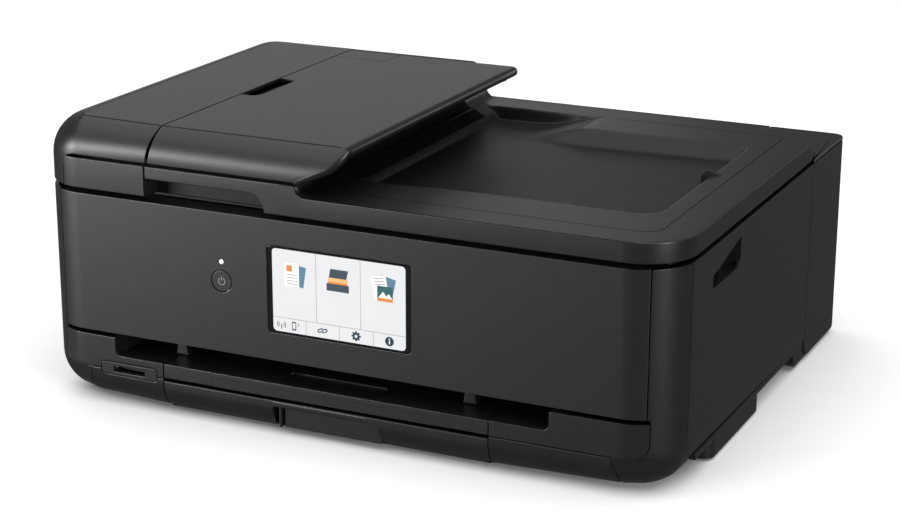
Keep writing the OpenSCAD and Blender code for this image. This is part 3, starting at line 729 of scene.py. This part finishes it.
grip_pillar = block("cassette_grip_pillar", (-42.6, -40.8), (-173.5, -169), (5.3, 20), "cassette")
for piece in (cassette_front, cassette_lip, grip_plate, grip_pillar):
    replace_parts(piece, "cassette")


# ---------- operation panel ----------

SCREEN = (SCREEN_X - SCREEN_W / 2, SCREEN_X + SCREEN_W / 2,
          SCREEN_Z - SCREEN_H / 2, SCREEN_Z + SCREEN_H / 2)
BEZEL = rounded_outline(-47.6, 51.1, 69.0, 125.4, 2.5)
panel_end = BODY.at_x(PANEL_EDGE)
# The outline's rear corners are notched, so that the panel clears its two arms when it tilts.
panel_outline = [BODY.point(a, 2.6) for a in BODY.places(-panel_end, panel_end)]
panel_outline += [(PANEL_EDGE - 2, -166), (146, -166), (146, -158)]
panel_outline += [(-146, -158), (-146, -166), (2 - PANEL_EDGE, -166)]
panel_cutters = [front_cut("display_cut", BEZEL, FRONT + 8),
                 front_cut("button_cut", circle_outline(BUTTON_X, BUTTON_Z, BUTTON_R + 0.35), FRONT + 8),
                 front_cut("lamp_cut", circle_outline(BUTTON_X, LAMP_Z, 1.6, 24), FRONT + 8)]
panel = skin("panel_front", [patch(PANEL_Z, CASE_TOP, -panel_end, panel_end)],
             "operation_panel", "panel_black", depth=3.0, edge=0.5, cutters=panel_cutters)
panel_top = prism("panel_top", panel_outline, CASE_TOP - 2.5, CASE_TOP - 0.2, "z",
                  "operation_panel", "panel_black")
panel_floor = prism("panel_floor", panel_outline, PANEL_Z + 0.2, PANEL_Z + 2.5, "z", "operation_panel",
                    "inner_black")
for piece in (panel, panel_top, panel_floor):
    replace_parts(piece, "panel_cover")
bezel = prism("display_bezel", rounded_outline(-47.3, 50.8, 69.3, 125.1, 2.3), FRONT + 0.35, FRONT + 2.3,
              "y", "operation_panel", "display_face", 0.25)
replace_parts(bezel, "display_glass")


def plate(name, outline, layer, look):
    """A paper-thin shape lying on the display. A higher layer lies nearer to the viewer."""
    front = FRONT + 0.34 - 0.03 * layer
    return prism(name, outline, front, front + 0.03, "y", "operation_panel", look)


def tilted(points, x, z, degrees):
    """Points about the origin, turned and moved to (x, z)."""
    c, s = math.cos(math.radians(degrees)), math.sin(math.radians(degrees))
    return [(x + u * c - v * s, z + u * s + v * c) for u, v in points]


def ring_piece(name, x, z, inner, outer, start):
    """A small wave of a signal, 80 degrees wide from the angle start."""
    return plate(name, ring_outline(x, z, inner, outer, start, 80, 8), 2, "icon_slate")


plate("page", rounded_outline(*SCREEN, 2.5), 1, "page_white")
ROW_Z = 79.7
HALF_LINE = 0.2
plate("row_line", bar(SCREEN[0], SCREEN[1], ROW_Z - HALF_LINE, ROW_Z + HALF_LINE), 2, "page_line")
for n, x in enumerate((-13.5, 17.0)):
    line = bar(x - HALF_LINE, x + HALF_LINE, ROW_Z + HALF_LINE, SCREEN[3])
    plate(f"upper_divider_{n}", line, 2, "page_line")
for n, x in enumerate((-20.9, 2.1, 25.5)):
    line = bar(x - HALF_LINE, x + HALF_LINE, SCREEN[2], ROW_Z - HALF_LINE)
    plate(f"lower_divider_{n}", line, 2, "page_line")

ICON_Z = 108.3
plate("copy_back_sheet", tilted(bar(-4.5, 5, -7, 6.5), -26.2, ICON_Z, -9), 2, "icon_blue")
plate("copy_front_sheet", bar(-35.3, -25.3, ICON_Z - 7.5, ICON_Z + 7.5), 3, "icon_white")
plate("copy_square", bar(-34, -30, ICON_Z + 2, ICON_Z + 6), 4, "icon_orange")
for n in range(4):
    plate(f"copy_line_{n}", bar(-34, -26.6, ICON_Z - 6 + n * 1.9, ICON_Z - 5.4 + n * 1.9), 4, "page_line")
plate("scan_lid", [(-4.5, ICON_Z + 2), (7.5, ICON_Z + 2), (8.8, ICON_Z + 7.6), (-3.5, ICON_Z + 7.6)],
      2, "icon_slate")
plate("scan_light", bar(-5.2, 8.2, ICON_Z - 0.6, ICON_Z + 2), 3, "icon_amber")
plate("scan_glow", bar(-5.2, 8.2, ICON_Z - 1.8, ICON_Z - 0.6), 3, "icon_orange")
plate("scan_box", bar(-6.2, 9.2, ICON_Z - 6.5, ICON_Z - 1.8), 2, "icon_slate")
plate("print_back_sheet", tilted(bar(-5, 5, -7, 7), 34.8, ICON_Z + 0.5, -12), 2, "icon_blue")
plate("print_front_sheet", tilted(bar(-5, 5, -7.5, 7.5), 30.5, ICON_Z, 10), 3, "icon_white")
for n in range(3):
    line = bar(-3.6, 3.6, 2 + n * 1.9, 2.6 + n * 1.9)
    plate(f"print_line_{n}", tilted(line, 30.5, ICON_Z, 10), 4, "page_line")
plate("print_sky", bar(28.5, 39.0, ICON_Z - 6, ICON_Z + 1.5), 5, "icon_teal")
plate("print_ground", bar(28.5, 39.0, ICON_Z - 8.2, ICON_Z - 6), 5, "icon_orange")
plate("print_hill", [(29.2, ICON_Z - 6), (32.4, ICON_Z - 2), (34.6, ICON_Z - 4.6), (36.4, ICON_Z - 3),
                     (38.6, ICON_Z - 6)], 6, "icon_white")

TOOL_Z = 75.1
for n, start in enumerate((140, -40)):
    for m, r in enumerate((1.6, 2.7)):
        ring_piece(f"signal_{n}_{m}", -38.2, TOOL_Z, r, r + 0.45, start)
plate("signal_post", bar(-38.5, -37.9, TOOL_Z - 3, TOOL_Z + 0.3), 2, "icon_slate")
plate("phone", rounded_outline(-30.9, -27.9, TOOL_Z - 2.8, TOOL_Z + 2.8, 0.5), 2, "icon_slate")
plate("phone_page", bar(-30.4, -28.4, TOOL_Z - 1.8, TOOL_Z + 2.0), 3, "page_white")
ring_piece("phone_wave", -27.6, TOOL_Z + 1.2, 1.2, 1.6, -40)
for n, x in enumerate((-10.9, -8.1)):
    link, hole = rounded_outline(-2.2, 2.2, -1.2, 1.2, 1.15), rounded_outline(-1.4, 1.4, -0.5, 0.5, 0.45)
    plate(f"link_{n}", tilted(link, x, TOOL_Z, 25), 2 + n, "icon_navy")
    plate(f"link_hole_{n}", tilted(hole, x, TOOL_Z, 25), 4 + n, "page_white")
GEAR_X, ABOUT_X = 13.8, 36.5
for n in range(4):
    plate(f"gear_teeth_{n}", tilted(bar(-3.2, 3.2, -0.6, 0.6), GEAR_X, TOOL_Z, n * 45), 2 + n, "icon_navy")
plate("gear_disc", circle_outline(GEAR_X, TOOL_Z, 2.4), 6, "icon_navy")
plate("gear_hole", circle_outline(GEAR_X, TOOL_Z, 1.0), 7, "page_white")
plate("about_disc", circle_outline(ABOUT_X, TOOL_Z, 3.0), 2, "icon_navy")
plate("about_stem", bar(ABOUT_X - 0.4, ABOUT_X + 0.4, TOOL_Z - 1.7, TOOL_Z + 0.6), 3, "icon_white")
plate("about_dot", circle_outline(ABOUT_X, TOOL_Z + 1.5, 0.45, 12), 3, "icon_white")

button = prism("power_button_face", circle_outline(BUTTON_X, BUTTON_Z, BUTTON_R, 56), FRONT + 0.2, FRONT + 7,
               "y", "power_button", "panel_black", 0.5)
stem = prism("power_button_stem", circle_outline(BUTTON_X, BUTTON_Z, 3, 24), FRONT + 7, FRONT + 9, "y",
             "power_button", "inner_black")
for piece in (button, stem):
    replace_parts(piece, "power_button")


def mark(name, outline):
    """A shallow printed mark on the power button."""
    return prism(name, outline, FRONT + 0.16, FRONT + 0.2, "y", "power_button", "mark_grey")


mark("power_ring", ring_outline(BUTTON_X, BUTTON_Z, 2.0, 2.5, 120, 300, 30))
mark("power_bar", bar(BUTTON_X - 0.27, BUTTON_X + 0.27, BUTTON_Z + 0.6, BUTTON_Z + 3.1))


# ---------- document cover ----------

RECESS_FRONT, RECESS_RIGHT, RECESS_BACK = -117.0, 184.9, 98.5  # sides of the paper recess


def lid_height(x, y):
    """The top of the document cover: flat, with the paper recess sunk in it."""
    # The floor rises a little to the right, and a step behind it rises to the level of the cover.
    floor = mix(148.5, 150.8, (x + 33) / 218)
    step = mix(floor, COVER_TOP, smooth((x - 22) / 50))
    floor = mix(floor, step, smooth((y - 44) / 20))
    # The front slope is long at the feeder and short to the right, where it turns a round corner.
    slope = mix(30.0, 4.0, smooth(x / 60))
    corner = 15
    to_right, to_back = RECESS_RIGHT - x, RECESS_BACK - y
    to_front = y - RECESS_FRONT + (slope - 4) / 3
    if to_right < corner and to_front < corner:
        to_front = corner - math.hypot(corner - to_right, corner - to_front)
    inside = smooth(to_front / slope) * smooth(to_right / 4) * smooth(to_back / 3)
    # The deep part's rear right corner is round too.
    rear_corner, rear_corner_y = 14, 48
    if y > 30 and to_right < rear_corner:
        end = rear_corner - math.hypot(rear_corner - to_right, max(0.0, y - rear_corner_y))
        inside *= smooth((end + 4) / 5)
    return mix(COVER_TOP, floor, inside)


FILLET_R = 8.0  # radius between the cover's top and the feeder's side wall
FILLET = [(-20 + FILLET_R * math.cos(a), COVER_TOP + FILLET_R + FILLET_R * math.sin(a))
          for a in map(math.radians, (186.5, 196, 208, 220, 232, 244, 257, 270))]
lid_xs = span(-16, 20, 4) + span(23, 56, 3) + span(58, 104, 2) + span(108, 164, 5) + span(166, 185, 1.0)
lid_ys = [FRONT + CORNER * (1 - math.cos(math.radians(a))) for a in span(0, 90, 6)][:-1]
lid_ys += span(FRONT + CORNER, -120, 4)[:-1] + span(-120, -100, 1)[:-1]
lid_ys += span(-100, 40, 5)[:-1] + span(40, 68, 1.5)[:-1] + span(68, COVER_BACK - CORNER, 5)[:-1]
lid_ys += span(COVER_BACK - CORNER, 95, 2.5)[:-1] + span(95, 100, 0.7)[:-1]
lid_ys += [COVER_BACK - CORNER + CORNER * math.sin(math.radians(a)) for a in span(23.5, 90, 6)]


def lid_row(y):
    """A row of the cover's top: up the feeder's side wall, then to the right edge."""
    shift = 5 * smooth((y - FRONT - 3) / 10)
    rise = smooth((y - FRONT - 6) / 8) * (1 - smooth((y - 80) / 5))
    row = [(FILLET[0][0] - shift, y, mix(FILLET[0][1], 182.0, rise))]
    row += [(x - shift, y, z) for x, z in FILLET]
    row.append((lid_xs[0], y, mix(COVER_TOP, lid_height(lid_xs[0], y), 0.5)))
    row += [(x, y, lid_height(x, y)) for x in lid_xs[1:]]
    edge = COVER.point(COVER.at_y(y))[0]
    row += [(mix(STRAIGHT, edge, t), y, COVER_TOP) for t in (0.34, 0.67, 1.0)]
    return row


lid_top = [lid_row(y) for y in lid_ys]
fascia_end = -COVER.at_x(FASCIA_EDGE)
fascia_places = COVER.places(fascia_end, FILLET[0][0])[:-1]
front_line = [(*COVER.point(a), FASCIA_Z) for a in fascia_places] + lid_top[0][1:]
right_line = [row[-1] for row in lid_top]
back_line = lid_top[-1][::-1]


def wall_below(line):
    """A wall from the cover's underside up to a line of points."""
    return [[(x, y, mix(COVER_Z, z, t)) for x, y, z in line] for t in (0.0, 0.5, 1.0)]


ledge = [[(*COVER.point(a, inset), FASCIA_Z) for a in fascia_places + [FILLET[0][0]]]
         for inset in (0, 6, 12)]
LIFT_CUT = [(-134, 140), (-134, 157), (-59, 157), (-55.5, 156.2), (-53, 154.6), (-51, 152), (-49.5, 148.5),
            (-48, 140)]
lid = skin("lid", [lid_top, wall_below(front_line), wall_below(right_line), wall_below(back_line), ledge],
           "document_cover", depth=2.2, edge=0.7, cutters=[front_cut("lift_cut", LIFT_CUT, -150)])
plate_end = COVER.at_y(80)
plate_outline = [COVER.point(a, 2.4) for a in COVER.places(-plate_end, plate_end)]
plate_outline += [(HALF_W - 2.4, 110), (185, COVER_BACK - 2.4), (-185, COVER_BACK - 2.4),
                  (-HALF_W + 18, 100)]
lid_plate = prism("lid_plate", plate_outline, COVER_Z, COVER_Z + 1.2, "z", "document_cover", "inner_black")
cut(lid_plate, front_cut("plate_lift_cut", LIFT_CUT, -160))
wall_places = COVER.places(-COVER.rear_end - 150, fascia_end)
wall = [[(*COVER.point(a, 3.8), z) for a in wall_places] for z in (149.5, 157.0, 165.2)]
lid_left = skin("lid_left_wall", [wall], "document_cover", "inner_black")
LIFT_YS = (-173.4, -160)
LIFT_PARTS = {
    "lift_back": ((-136, -46), (-161.5, -160), (COVER_Z, 160)),
    "lift_roof": ((-136, -46), LIFT_YS, (157.2, 158.6)),
    "lift_left_end": ((-135.5, -134.1), LIFT_YS, (COVER_Z, 158)),
}
# Painted shade: the lift pocket's parts take the darker inner_black for the shade inside the pocket.
pocket = [block(name, *spans, "document_cover", "inner_black", 0.3) for name, spans in LIFT_PARTS.items()]
LIFT_SLOPE = [(-58.5, 157.4), (-55, 156.4), (-52.6, 154.8), (-50.6, 152), (-49, 148.5), (-47.6, COVER_Z),
              (-46, COVER_Z), (-46, 158.5), (-58.5, 158.5)]
slope = prism("lift_slope", LIFT_SLOPE, *LIFT_YS, "y", "document_cover", "inner_black")
for piece in [lid, lid_plate, lid_left, slope] + pocket:
    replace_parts(piece, "document_cover")

SEAM_LINE_X = -134.8              # seam down the strip, below the edge of the feeder cover
FRAME_X, FRAME_Y = 197.6, -152.5  # right and front side of the line round the recess
frame_line = [(-10, FRAME_Y), (90, FRAME_Y)] + arc(FRAME_X - 12, FRAME_Y + 12, 12, -90, 90, 8)
frame_line += [(FRAME_X, y) for y in (-60, 0, 50)] + arc(FRAME_X - 6, 92, 6, 0, 90, 8)
frame_line += [(x, 98) for x in (150, 110, 80, 74)]
ribbon("fascia_seam", [(SEAM_LINE_X, FRONT, COVER_Z), (SEAM_LINE_X, FRONT, FASCIA_Z)], (0, -1, 0), 1.4,
       "document_cover")
ribbon("lid_line", [(x, y, COVER_TOP) for x, y in frame_line], (0, 0, 1), HAIRLINE, "document_cover")

prism("stop_tab", [(177, 150), (190.5, 157.2), (190.5, 158.3), (183, 160.8), (179.8, 160.8), (177, 157.5)],
      -16, -13.5, "y", "document_cover", edge=0.5)


def paint(obj, look, chosen):
    """Gives another look to the faces picked by chosen(normal, centre in millimetres)."""
    obj.data.materials.append(LOOK[look])
    for face in obj.data.polygons:
        if chosen(face.normal, face.center / MM):
            face.material_index = len(obj.data.materials) - 1


# The recess floor in the cover's top gets a darker black: a matter finish, and painted shade under the
# feeder.
paint(lid, "recess_shade_black", lambda normal, at: normal.z > 0.5 and at.x > -20 and at.z < COVER_TOP - 0.6)
# Painted shade: the cover's faces under the document tray's overhang are painted near-black.
paint(lid, "line_black", lambda normal, at: normal.x > 0.2 and -50 < at.x < -16 and -150 < at.y < 80)


# ---------- sheet feeder ----------

SEAM_R, SEAM_CX, SEAM_CZ = 64.5, -69.9, 160.0  # the arc of the seam beside the document tray
FRONT_R, SIDE_R, REAR_R = 25.0, 29.0, 33.0     # radii of the feeder's rounded upper edge
FRONT_RAISED, BACK_RAISED = 4.9, 0.1           # see raised()
REAR_FLAT = 88.0                               # rear end of the document tray


def seam_x(z):
    """Where the seam between feeder cover and document tray lies at this height."""
    return SEAM_CX - math.sqrt(SEAM_R ** 2 - (z - SEAM_CZ) ** 2)


def shoulder(at):
    """The radius of the feeder's upper edge at a place on its left part."""
    if abs(at) < COVER.side_start:
        return mix(FRONT_R, SIDE_R, smooth((abs(at) - STRAIGHT) / COVER.arc))
    return mix(SIDE_R, REAR_R, smooth((abs(at) - COVER.rear_start) / COVER.rear_arc))


def raised(at):
    """How far the centre of the rounded edge is raised, so that it meets the flat top in a crisp line."""
    return mix(FRONT_RAISED, BACK_RAISED, smooth((abs(at) - STRAIGHT + 14) / (COVER.arc * 0.7)))


def shoulder_profile(r, rise, part):
    """(inset, z) up the feeder's edge; part is 0 at the wall, 1 at the crisp line and 2 on the flat top."""
    a = min(part, 1.0) * math.asin(1 - rise / r)
    inset = r * (1 - math.cos(a))
    if part >= 1:
        return mix(inset, r, part - 1), TOP
    return inset, TOP - r + rise + r * math.sin(a)


def on_feeder(at, part):
    """A point on the feeder's rounded upper edge."""
    inset, z = shoulder_profile(shoulder(at), raised(at), part)
    x, y = COVER.point(at, inset)
    return x, y, z


def front_stop(z):
    """The right end of the feeder cover at this height: the curved seam, upright near its middle."""
    return seam_x(max(z, SEAM_CZ + 1))


def feeder_row(point, z_back, z_front):
    """Points round the feeder cover, from its right end at the back to its right end at the front."""
    ends = -(COVER.rear_end + STRAIGHT + front_stop(z_back)), front_stop(z_front)
    return [point(a) for a in [ends[0]] + inner_places + [ends[1]]]


PARTS = span(0, 1, 0.1) + [1.3, 1.7, 2.0]
inner_places = COVER.places(-COVER.rear_end - 20, -STRAIGHT)
feeder_rows = [feeder_row(lambda a: (*COVER.point(a), z), z, z) for z in (145.8, 151.0, 156.0)]
for part in PARTS:
    z_back = shoulder_profile(REAR_R, BACK_RAISED, part)[1]
    z_front = shoulder_profile(FRONT_R, FRONT_RAISED, part)[1]
    feeder_rows.append(feeder_row(lambda a: on_feeder(a, part), z_back, z_front))
verts, faces = sheet_mesh([feeder_rows])
faces.append(tuple(range(len(verts) - len(feeder_rows[-1]), len(verts))))
feeder_cover = place("feeder_shell", verts, faces, "feeder_cover")
thicken(feeder_cover, 2.4)
bake(feeder_cover)
low_r, low_x = 10, -FASCIA_EDGE - 0.3
low_cut = [(low_x, 140)] + arc(low_x + low_r, FEEDER_Z - low_r, low_r, 180, -90, 9)
low_cut += [(-60, FEEDER_Z), (-60, 140)]
cut(feeder_cover, front_cut("feeder_low_cut", low_cut, COVER_BACK + 5))
round_edges(feeder_cover, 0.35)
even_shading(bake(feeder_cover))
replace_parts(feeder_cover, "feeder_cover")

TRAY_END = [(FEEDER_Z, -28.0), (173.5, -16.0), (179.5, -4.4), (185.0, 0.4), (TOP, 3.0)]


def tray_end(z):
    """The right end of the document tray at this height."""
    for (z0, x0), (z1, x1) in zip(TRAY_END, TRAY_END[1:]):
        if z <= z1:
            return mix(x0, x1, (z - z0) / (z1 - z0))
    return TRAY_END[-1][1]


def front_profile():
    """(y, z) points up the feeder's front edge, from the tray's lower edge to the flat top."""
    rise = [shoulder_profile(FRONT_R, FRONT_RAISED, part) for part in PARTS]
    return [(FRONT, FEEDER_Z)] + [(FRONT + inset, z) for inset, z in rise]


def tray_xs(z):
    """Where the document tray gets points at this height: its seam narrows towards the flat top."""
    start = seam_x(z) + mix(2.1, 0.9, smooth((z - 176) / 14))
    return start, seam_x(z) + 2.8, -90, -50, tray_end(z) - 6, tray_end(z)


tray_rows = front_profile() + [(y, TOP) for y in (-148, -100, -40, 20, REAR_FLAT - 1.5, REAR_FLAT)]
NOTCH = [(-140, -69), (-118.5, -69), (-115, -67.5), (-113.3, -63.5), (-113.3, -21), (-115, -17),
         (-118.5, -16), (-140, -16)]
tray_shell = skin("tray_shell", [[[(x, y, z) for x in tray_xs(z)] for y, z in tray_rows]],
                  "document_tray", depth=2.6, edge=0.35,
                  cutters=[prism("notch_cut", NOTCH, TOP - 8, TOP + 5, "z")])
notch_floor = block("notch_floor", (-126.5, -111), (-71, -14), (TOP - 6.5, TOP - 5),
                    "document_tray", "inner_black")

LIP_R = 3.4  # radius of the rounded bar along the document tray's free edge
lip_path = []
for y, z in front_profile():
    tilt = math.asin(max(0.0, (z - (TOP - FRONT_R))) / FRONT_R)
    lip_path.append((tray_end(z) - 0.6, y + LIP_R * math.cos(tilt), z - LIP_R * math.sin(tilt)))
lip_path += [(2.5, y, TOP - LIP_R) for y in (-140, -80, 0, 60, REAR_FLAT)]
tray_lip = tube("tray_lip", lip_path, LIP_R, "document_tray")
for piece in (tray_shell, notch_floor, tray_lip):
    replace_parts(piece, "document_tray")
CORNER_LINE = [(-124.5, 63.5), (-90, 63), (-87.4, 64), (-86.5, 66.5), (-85.8, 80.3), (-85.8, 87.5)]
ribbon("tray_corner_line", [(x, y, TOP) for x, y in CORNER_LINE], (0, 0, 1), HAIRLINE, "document_tray")
EDGE_ANGLE = math.radians(69)  # how steeply the lines along the crisp edge face upwards
edge_y = FRONT + shoulder_profile(FRONT_R, FRONT_RAISED, 1.0)[0]
ribbon("tray_edge_line", [(x, edge_y, TOP) for x in (seam_x(TOP) + 0.8, -90, -50, tray_end(TOP) - 3)],
       (0, -math.cos(EDGE_ANGLE), math.sin(EDGE_ANGLE)), HAIRLINE, "document_tray")
cover_line_places = [a for a in inner_places if a > -(COVER.rear_start + 1)] + [seam_x(TOP) - 0.6]


def feeder_normal(point):
    """Which way the crisp edge faces at the place nearest to a point."""
    near = min(cover_line_places, key=lambda a: (Vector(on_feeder(a, 1.0)) - Vector(point)).length)
    outwards = (Vector(COVER.point(near, 0)) - Vector(COVER.point(near, 1))).normalized()
    return outwards.x * math.cos(EDGE_ANGLE), outwards.y * math.cos(EDGE_ANGLE), math.sin(EDGE_ANGLE)


ribbon("cover_edge_line", [on_feeder(a, 1.0) for a in cover_line_places], feeder_normal, HAIRLINE,
       "feeder_cover")


# ---------- rear ----------

# Painted shade: the vent slots are flat near-black strips standing for openings whose inside lies in shade.
for row in range(3):
    for n in range(16):
        x = -60 + n * 9.5
        slot = [(x, BACK, z + row * 15) for z in (84, 95)]
        ribbon(f"vent_{row}_{n}", slot, (0, 1, 0), 2.6, "base")
for n, (x0, x1, z0, z1) in enumerate(((-147, -133, 28, 41), (-125, -111, 28, 41), (-103, -91, 29, 38))):
    block(f"socket_{n}", (x0, x1), (BACK - 1.1, BACK - 0.8), (z0, z1), "base", "line_black", 0.1)


# ---------- stage ----------

def light(name, place_at, size, power, aim):
    """A rectangular lamp facing a point; its place, size and aim are in metres."""
    lamp = bpy.data.lights.new(name, "AREA")
    lamp.shape = "RECTANGLE"
    lamp.size, lamp.size_y = size
    lamp.energy = power
    obj = bpy.data.objects.new(name, lamp)
    obj.location = place_at
    obj.rotation_euler = (Vector(aim) - Vector(place_at)).to_track_quat("-Z", "Y").to_euler()
    bpy.context.scene.collection.objects.link(obj)


floor_mesh = bpy.data.meshes.new("floor")
FLOOR_REACH = 12  # metres
floor_corners = [(x, y, 0) for x, y in bar(-FLOOR_REACH, FLOOR_REACH, -FLOOR_REACH, FLOOR_REACH)]
floor_mesh.from_pydata(floor_corners, [], [(0, 1, 2, 3)])
floor = bpy.data.objects.new("floor", floor_mesh)
floor_mesh.materials.append(surface("floor_white", (0.93, 0.93, 0.93), 0.9, vary=0.01, specular=0.1))
bpy.context.scene.collection.objects.link(floor)
floor.visible_glossy = False

world = bpy.data.worlds.new("studio")
world.use_nodes = True
world.node_tree.nodes["Background"].inputs["Color"].default_value = (1, 1, 1, 1)
world.node_tree.nodes["Background"].inputs["Strength"].default_value = 0.13
bpy.context.scene.world = world
MIDDLE = (0, 0, 0.1)
light("overhead", (0, -0.9, 3.0), (7, 6.4), 262, (0, -0.9, 0))
light("left_front", (-2.1, -2.1, 0.2), (1.7, 0.36), 88, MIDDLE)
light("left_back", (-2.0, 3.2, 1.0), (2.0, 0.8), 4, MIDDLE)
light("right_front", (2.2, -1.1, 0.4), (0.4, 0.7), 34, MIDDLE)
light("right_back", (1.3, 3.4, 0.4), (1.8, 0.7), 8, MIDDLE)

camera_data = bpy.data.cameras.new("camera")
camera_data.lens, camera_data.sensor_width = 86.44, 36
camera = bpy.data.objects.new("camera", camera_data)
azimuth, elevation, roll = math.radians(25.11), math.radians(17.54), math.radians(0.13)
looking = Vector((-math.sin(azimuth) * math.cos(elevation), math.cos(azimuth) * math.cos(elevation),
                  -math.sin(elevation)))
right = Vector((math.cos(azimuth), math.sin(azimuth), 0))
upward = right.cross(looking)
turn = Matrix((right, upward, -looking)).transposed()
CAMERA_AT = (0.5931, -1.2767, 0.5144)  # metres
camera.matrix_world = Matrix.Translation(CAMERA_AT) @ turn.to_4x4() @ Matrix.Rotation(roll, 4, "Z")
bpy.context.scene.collection.objects.link(camera)
bpy.context.scene.camera = camera
bpy.context.scene.view_settings.view_transform = "Standard"
